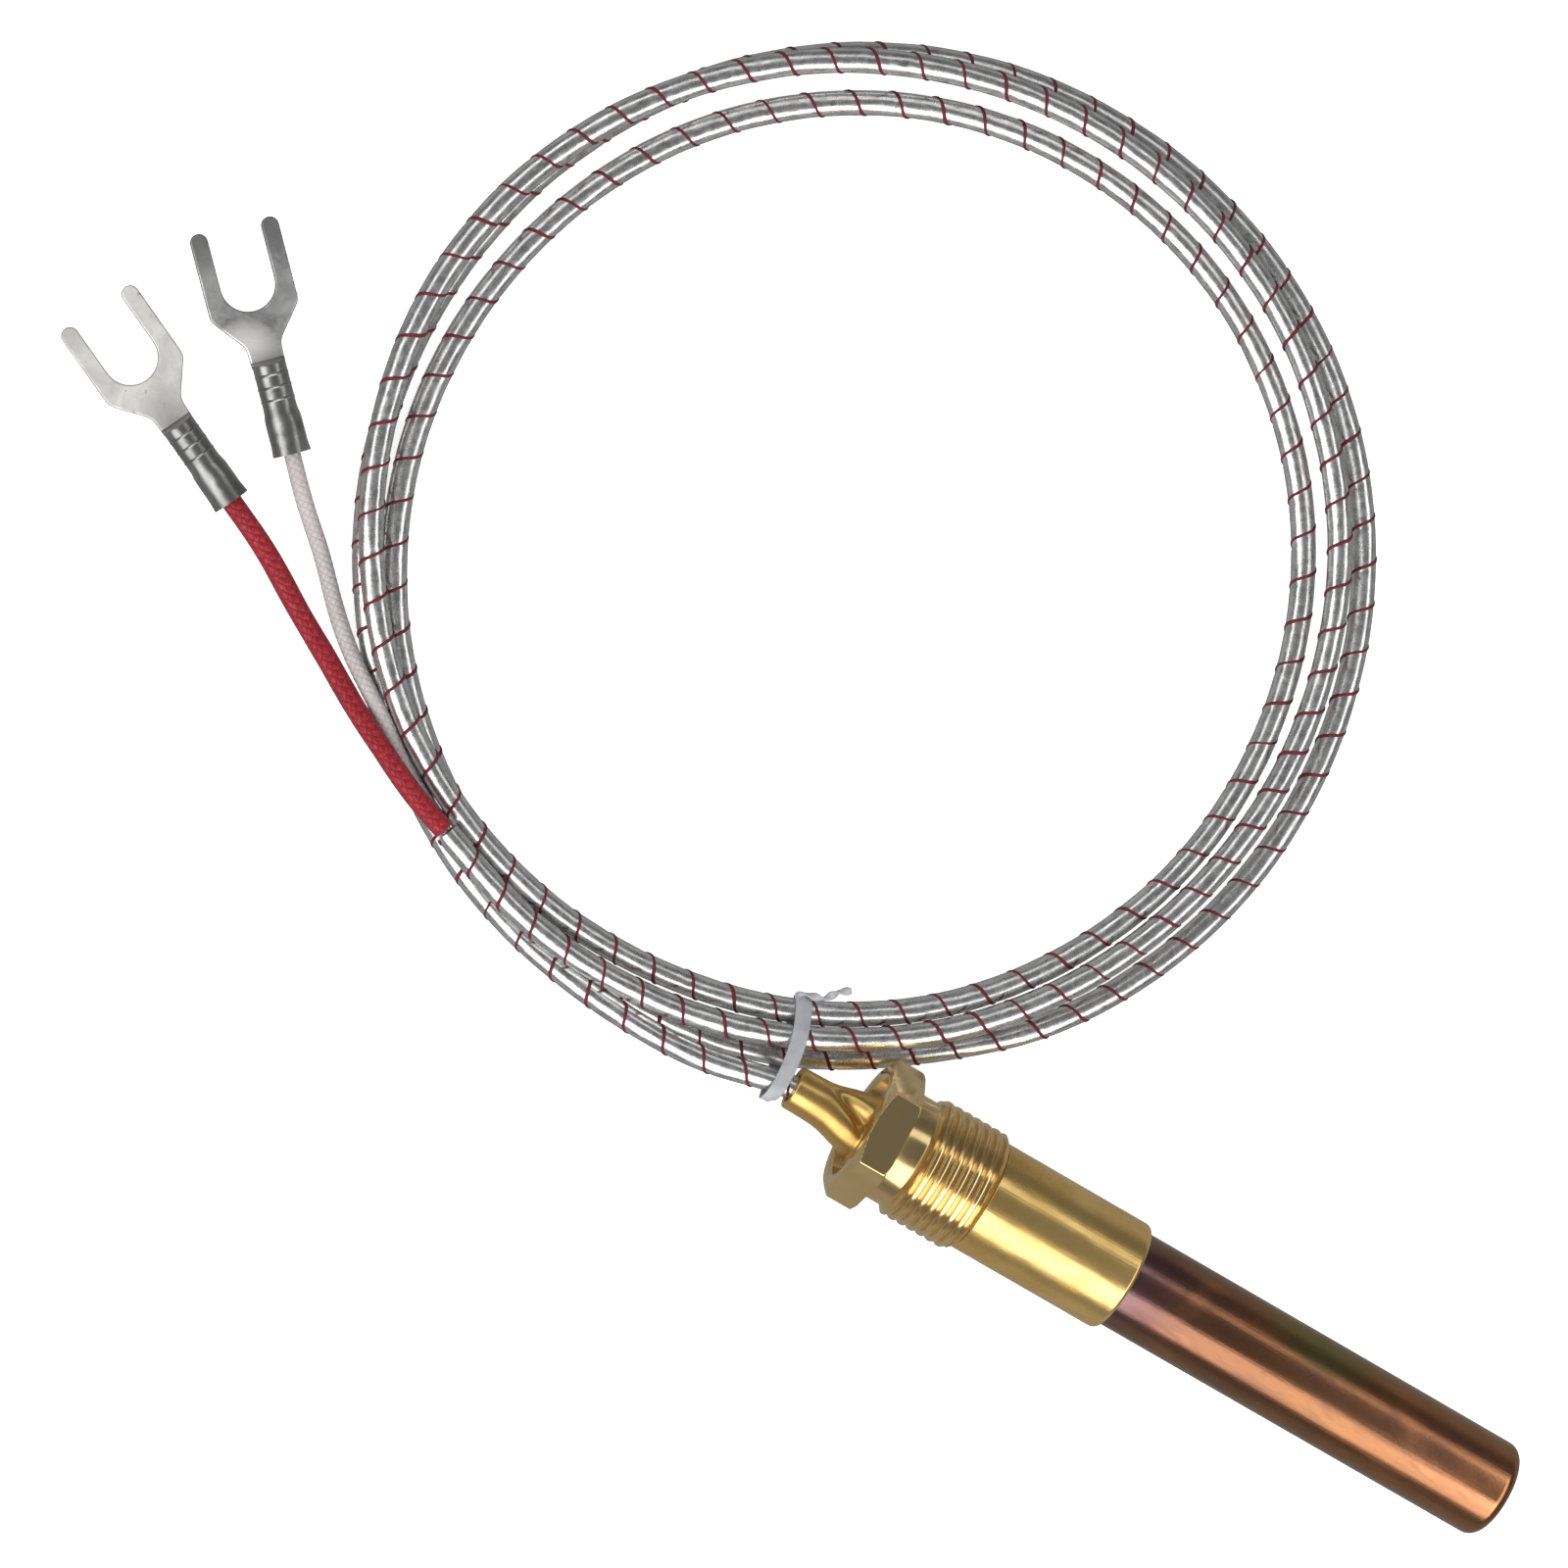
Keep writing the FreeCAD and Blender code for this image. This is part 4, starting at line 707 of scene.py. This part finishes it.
def tracer_thread():
    """Flat ribbon wound on the foil as a helix, wide on the surface and thin across it."""
    lay_radius, half_width, half_thick = 1.225, 0.155, 0.075
    at = np.arange(3.6, cable_at[-1] - 0.3, 0.16)
    phase = TURN * at / THREAD_PITCH_CABLE
    phase += 0.25 * np.interp(at, cable_at, smooth_line(len(cable), 90, seed=21))
    # the ribbon shifts along the cable once per turn, which slants it unevenly
    shifted = at - 0.38 * THREAD_PITCH_CABLE / TURN * np.sin(phase)
    centre, normals, binormals = (resample(shifted, cable_at, table)
                                  for table in (cable, cable_normals, cable_binormals))
    helix = centre + lay_radius * (normals * np.cos(phase)[:, None] + binormals * np.sin(phase)[:, None])
    outward = unit(helix - centre)
    side = np.cross(unit(np.gradient(helix, axis=0)), outward)
    theta = angles(7)
    width = 1 + 0.12 * np.interp(at, cable_at, smooth_line(len(cable), 3, seed=33))
    grid = section_rows(helix, side, outward, half_width * width[:, None] * np.cos(theta),
                        half_thick * np.sin(theta))
    fit(grid_mesh("tracer_thread", grid, 80, at), THREAD, "probe")


cable_foil()
tracer_thread()

# ------------------------------------------------------------------ leads and fork terminals
FORK_Z = -4.7
BARREL_END, BARREL_RADIUS = 8.6, 1.60
BLADE_BOTTOM, BLADE_HALF_THICK, BLADE_EDGE = -1.62, 0.4, 0.19
FORK_HALF_WIDTH, SLOT_RADIUS, SLOT_CENTRE, FORK_TIP = 4.3, 2.6, 16.5, 22.2
# Blade edge from the barrel to the full width: x, half width
BLADE_NECK = [(BARREL_END, 1.62), (10.0, 1.66), (10.5, 1.72), (10.9, 1.9), (11.3, 2.2),
              (12.4, 3.1), (13.5, 3.98), (13.9, 4.22), (14.3, FORK_HALF_WIDTH)]


def lead_sleeve(colour, lay, start, direction, radius, weave, seed, material):
    """Braided sleeve from the cable into the fork barrel that begins at `start`."""
    path = [np.array(p, float) for p in lay]
    path[-1] = start - direction * 0.25
    path[-2] = path[-2] * 0.5 + (start - direction * 5.0) * 0.5
    path.append(start + direction * 1.2)
    points, at = spline(path, 0.16)
    theta = angles(36)
    run = (TURN * at / weave["pitch"])[:, None]
    turn = theta * weave["around"] / 2
    yarn = np.abs(np.sin(turn + run) * np.sin(turn - run))
    uneven = radius * (1 + 0.012 * smooth_line(len(points), 22, seed))
    radii = uneven[:, None] * (0.972 + 0.032 * yarn ** 0.5)
    radii[:3] *= np.array([0.93, 0.98, 1.0])[:, None]
    grid = section_rows(points, *frames(points), radii * np.cos(theta), radii * np.sin(theta))
    fit(grid_mesh(colour + "_braid_sleeve", grid, 80, at), material,
        colour + "_lead", colour + "_lead_sleeve")


def arc(x, y, radius, start, end, count):
    return [(x + radius * math.cos(math.radians(a)), y + radius * math.sin(math.radians(a)))
            for a in np.linspace(start, end, count)]


def fork_blade(name):
    """Flat two-pronged blade, its bevelled plate filled from an outline along +X."""
    prong_round = (FORK_HALF_WIDTH - SLOT_RADIUS) / 2
    prong_x, prong_y = FORK_TIP - prong_round, (FORK_HALF_WIDTH + SLOT_RADIUS) / 2
    slot_mouth = SLOT_CENTRE + 2.0
    # anticlockwise seen from above
    outline = [(x, -y) for x, y in BLADE_NECK]
    outline += arc(prong_x, -prong_y, prong_round, -90, 90, 15)
    outline += [(slot_mouth, -SLOT_RADIUS)]
    outline += arc(SLOT_CENTRE, 0, SLOT_RADIUS, -90, -270, 31)
    outline += [(slot_mouth, SLOT_RADIUS)]
    outline += arc(prong_x, prong_y, prong_round, -90, 90, 15)
    outline += BLADE_NECK[::-1]

    curve = bpy.data.curves.new("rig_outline", "CURVE")
    curve.dimensions = "2D"
    curve.fill_mode = "BOTH"
    line = curve.splines.new("POLY")
    line.points.add(len(outline) - 1)
    for point, (x, y) in zip(line.points, outline):
        point.co = (x * MM, y * MM, 0, 1)
    line.use_cyclic_u = True
    curve.extrude = (BLADE_HALF_THICK - BLADE_EDGE) * MM
    curve.bevel_depth = BLADE_EDGE * MM
    curve.bevel_resolution = 3
    curve.offset = -BLADE_EDGE * MM
    source = link_object("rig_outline", curve)
    bpy.context.view_layer.update()
    depsgraph = bpy.context.evaluated_depsgraph_get()
    mesh = bpy.data.meshes.new_from_object(source.evaluated_get(depsgraph))
    bpy.data.objects.remove(source)
    blade = link_object(name, mesh)
    mesh.transform(Matrix.Translation((0, 0, (BLADE_BOTTOM + BLADE_HALF_THICK) * MM)))
    shade_smooth(mesh, 35)
    return blade


def fork_barrel(name):
    """Rolled tube with three raised rings, opening into a flat scoop at the blade."""
    theta = angles(96)
    # inside, from the bottom of the bore to the mouth: x, radius
    profile = [(6.0, 1.30), (0.3, 1.30), (0.0, 1.45)]
    for x in np.linspace(0.0, BARREL_END, 259):
        radius = BARREL_RADIUS + 0.16 * logistic(x, 3.9, -0.22) + 0.10 * max(0.0, 1 - x / 1.1) ** 1.2
        for ring_x in (5.3, 6.5, 7.7):
            radius += 0.065 * math.exp(-((x - ring_x) / 0.07) ** 2)
        # shallow flats round x = 3
        flats = 0.08 * math.exp(-(x - 3.0) ** 4) * np.abs(np.sin(theta + 0.5)) ** 4
        profile.append((x, radius - flats))
    # scoop: the top drops to the blade
    scoop_length, scoop_top, scoop_bottom = 0.55, -0.80, -1.58
    scoop = []
    for t in np.linspace(0.06, 1, 20):
        drop = t * t * (3 - 2 * t)
        top = scoop_top + (BARREL_RADIUS - scoop_top) * (1 - drop)
        z = np.maximum(np.minimum(BARREL_RADIUS * np.sin(theta), top), scoop_bottom)
        y = (BARREL_RADIUS + 0.04 * t) * np.cos(theta)
        scoop.append(np.stack([np.full_like(theta, BARREL_END + scoop_length * t), y, z], 1))
    grid = np.concatenate([ring_rows(profile, theta), scoop])
    return grid_mesh(name, grid[:, ::-1], 38)


def lead(colour, lay, fork_x, fork_y, heading, radius, weave, seed, braid_material, blade_material):
    """One lead and its fork; heading is the fork's direction in degrees from +X."""
    start = np.array([fork_x, fork_y, FORK_Z])
    turn = math.radians(heading)
    direction = np.array([math.cos(turn), math.sin(turn), 0])
    lead_sleeve(colour, lay, start, direction, radius, weave, seed, braid_material)
    blade = fork_blade(colour + "_fork_blade")
    barrel = fork_barrel(colour + "_fork_barrel")
    place = Matrix.Translation(Vector(start) * MM) @ Matrix.Rotation(turn, 4, "Z")
    for obj, material in ((blade, blade_material), (barrel, TIN_BARREL)):
        obj.data.transform(place)
        fit(obj, material, colour + "_lead")
    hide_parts(colour + "_fork_terminal")


lead("red", RED_LAY, fork_x=-95.35, fork_y=21.20, heading=155.4, radius=1.04,
     weave=RED_WEAVE, seed=3, braid_material=RED_BRAID, blade_material=TIN_LIGHT)
lead("white", WHITE_LAY, fork_x=-92.71, fork_y=28.00, heading=134.9, radius=0.82,
     weave=WHITE_WEAVE, seed=5, braid_material=WHITE_BRAID, blade_material=TIN_GREY)

# ------------------------------------------------------------------ tie round the coil
TIE_CENTRE = np.array([-23.43, 3.02, 0])
TIE_ACROSS = np.array([0.3618, -0.9322, 0])   # square to the cables
TIE_ALONG = np.array([-TIE_ACROSS[1], TIE_ACROSS[0], 0])
TIE_UP = np.array([0, 0, 1.0])
# Cables inside the tie: across, z
TIE_STRANDS = [(3.66, -0.03), (1.08, -4.53), (-3.31, -3.10), (-1.01, -1.47)]
STRAND_RADIUS, TIE_GAP, TIE_LOWEST = 1.22, 0.28, -6.55
# Centre line of the loose end: across, along, z
TIE_TAIL = np.array([(-4.75, 0.3, -2.6), (-5.1, 1.5, -2.2), (-5.0, 2.8, -2.0),
                     (-5.9, 4.3, -1.5), (-6.2, 5.4, -1.2)])


def in_tie_frame(across, along, up):
    return (TIE_CENTRE + TIE_ACROSS * across[..., None] + TIE_ALONG * along[..., None]
            + TIE_UP * up[..., None])


def strap_section(count, half_width, half_thick, squareness, rib, rib_width):
    """Flat strap with a rib down the middle of one face: widths and heights."""
    widths, heights = [], []
    for a in angles(count):
        width = half_width * np.sign(math.cos(a)) * abs(math.cos(a)) ** 0.5
        height = half_thick * np.sign(math.sin(a)) * abs(math.sin(a)) ** squareness
        if math.sin(a) > 0:
            height += rib * math.exp(-(width / rib_width) ** 2)
        widths.append(width)
        heights.append(height)
    return np.array(widths), np.array(heights)


def half_hull(points):
    """One side of the convex hull of sorted points."""
    out = []
    for p in points:
        while len(out) >= 2 and ((out[-1][0] - out[-2][0]) * (p[1] - out[-2][1])
                                 - (out[-1][1] - out[-2][1]) * (p[0] - out[-2][0])) <= 0:
            out.pop()
        out.append(p)
    return out[:-1]


def tie_loop():
    """Even loop of (across, z) points stretched round the strands."""
    radius = STRAND_RADIUS + TIE_GAP
    points = sorted((across + radius * math.cos(TURN * i / 64), z + radius * math.sin(TURN * i / 64))
                    for across, z in TIE_STRANDS for i in range(64))
    hull = np.array(half_hull(points) + half_hull(points[::-1]))
    hull[:, 1] = np.maximum(hull[:, 1], TIE_LOWEST)
    hull = np.vstack([hull, hull[:1]])
    lengths = run_length(hull)
    return resample(np.linspace(0, lengths[-1], 181)[:-1], lengths, hull)


def tie_band():
    loop = tie_loop()
    tangents = np.roll(loop, -1, 0) - np.roll(loop, 1, 0)
    normals = unit(np.stack([tangents[:, 1], -tangents[:, 0]], 1))
    widths, heights = strap_section(20, half_width=0.80, half_thick=0.13, squareness=0.6,
                                    rib=0.16, rib_width=0.22)
    # the loop leans along the cables
    lean = 0.75 - 0.22 * loop[:, 0] - 0.03 * loop[:, 0] ** 2
    grid = in_tie_frame(loop[:, :1] + normals[:, :1] * heights, widths + lean[:, None],
                        loop[:, 1:] + normals[:, 1:] * heights)
    obj = grid_mesh("coil_tie_band", grid, 50, closed=True)
    fit(obj, TIE, "probe", "coil_tie")


def tie_tail():
    """Loose end of the tie, twisting as it goes."""
    path, at = spline(in_tie_frame(*TIE_TAIL.T), 0.15)
    normals, binormals = frames(path)
    twist = (TURN * at / 3.2 + 0.6)[:, None]
    widths, heights = strap_section(16, half_width=0.42, half_thick=0.15, squareness=1,
                                    rib=0.10, rib_width=0.15)
    grid = section_rows(path, normals * np.cos(twist) + binormals * np.sin(twist),
                        -normals * np.sin(twist) + binormals * np.cos(twist), widths, heights)
    fit(grid_mesh("coil_tie_tail", grid, 50, at), TIE, "probe")


tie_band()
tie_tail()

# ------------------------------------------------------------------ floor
FLOOR_Z = -7.52
FLOOR_HALF = 3                                # metres


def floor_material():
    """Pale floor that glows for the camera only."""
    mat = Material("floor_pale")
    cloud = mat.noise(scale=8, detail=2)
    is_camera = mat.add("ShaderNodeLightPath").outputs["Is Camera Ray"]
    mat.feed(mat.surface["Emission Color"], (1, 1, 1))
    mat.feed(mat.surface["Emission Strength"], mat.math("MULTIPLY", is_camera, 0.72))
    colour = mat.mix(mat.fade(cloud, span=(0.3, 0.7)), (0.86, 0.86, 0.86), (0.84, 0.84, 0.845))
    return mat.finish(colour, mat.fade(cloud, span=(0.0, 1.0), levels=(0.85, 0.95)))


floor_mesh = bpy.data.meshes.new("floor")
floor_mesh.from_pydata([(x * FLOOR_HALF, y * FLOOR_HALF, FLOOR_Z * MM)
                        for x, y in ((-1, -1), (1, -1), (1, 1), (-1, 1))], [], [(0, 1, 2, 3)])
floor = link_object("floor", floor_mesh)
give(floor, floor_material())
floor.visible_glossy = False

# ------------------------------------------------------------------ lights and world
LIGHT_TARGET = Vector((-0.030, 0.030, 0.0))
LIGHT_DISTANCE = 0.6


def panel(name, azimuth, zenith, width, length, power):
    """Area light aimed at the target; azimuth is from +X, zenith from straight up."""
    light = bpy.data.lights.new(name, "AREA")
    light.shape = "RECTANGLE"
    light.size, light.size_y = length, width
    light.energy = power
    az, zen = math.radians(azimuth), math.radians(zenith)
    z_axis = Vector((math.sin(zen) * math.cos(az), math.sin(zen) * math.sin(az), math.cos(zen)))
    x_axis = Vector((-math.sin(az), math.cos(az), 0))
    rotation = Matrix((x_axis, z_axis.cross(x_axis), z_axis)).transposed().to_4x4()
    obj = bpy.data.objects.new(name, light)
    obj.matrix_world = Matrix.Translation(LIGHT_TARGET + z_axis * LIGHT_DISTANCE) @ rotation
    bpy.context.scene.collection.objects.link(obj)


panel("main_soft", azimuth=-90, zenith=43, width=0.50, length=1.3, power=4.7)
panel("strip_far", azimuth=90, zenith=42, width=0.15, length=1.2, power=0.56)
panel("side_left", azimuth=180, zenith=50, width=0.18, length=0.8, power=0.62)
panel("side_right", azimuth=0, zenith=46, width=0.22, length=0.8, power=0.95)


def studio_world():
    """Even grey light; reflections see a world that is lighter below than above."""
    world = bpy.data.worlds.new("studio")
    bpy.context.scene.world = world
    world.use_nodes = True
    sky = Nodes(world.node_tree)
    height = sky.math("MULTIPLY_ADD", sky.axes("Generated")["Z"], 0.5, 0.5)
    reflected = sky.ramp(height, [(0.40, (0.36, 0.36, 0.36)), (0.56, (0.115, 0.115, 0.12))])
    is_glossy = sky.add("ShaderNodeLightPath").outputs["Is Glossy Ray"]
    background = world.node_tree.nodes["Background"].inputs
    sky.feed(background["Color"], sky.mix(is_glossy, (0.62, 0.62, 0.63), reflected))
    sky.feed(background["Strength"], 0.85)


studio_world()

# ------------------------------------------------------------------ camera
# Looks down on the coil, rolled so the probe runs to the lower right.
CAMERA_TILT, CAMERA_ROLL = math.radians(9.0), math.radians(30.4472)
CAMERA_TARGET = Vector((-36.7355, 24.6418, 0))
CAMERA_DISTANCE = 500.0

backward = Vector((-math.sin(CAMERA_TILT), 0, math.cos(CAMERA_TILT)))
level_x = Vector((math.cos(CAMERA_TILT), 0, math.sin(CAMERA_TILT)))
level_y = Vector((0, 1, 0))
right = level_x * math.cos(CAMERA_ROLL) + level_y * math.sin(CAMERA_ROLL)
upward = level_x * -math.sin(CAMERA_ROLL) + level_y * math.cos(CAMERA_ROLL)
camera_data = bpy.data.cameras.new("camera")
camera_data.sensor_width = 36.0
camera_data.lens = 120.19626
camera_data.clip_start, camera_data.clip_end = 0.01, 20
camera = bpy.data.objects.new("camera", camera_data)
camera.matrix_world = (Matrix.Translation((CAMERA_TARGET + backward * CAMERA_DISTANCE) * MM)
                       @ Matrix((right, upward, backward)).transposed().to_4x4())
scene = bpy.context.scene
scene.collection.objects.link(camera)
scene.camera = camera
scene.view_settings.view_transform = "Standard"
scene.view_settings.exposure = 0.0

bpy.context.view_layer.update()
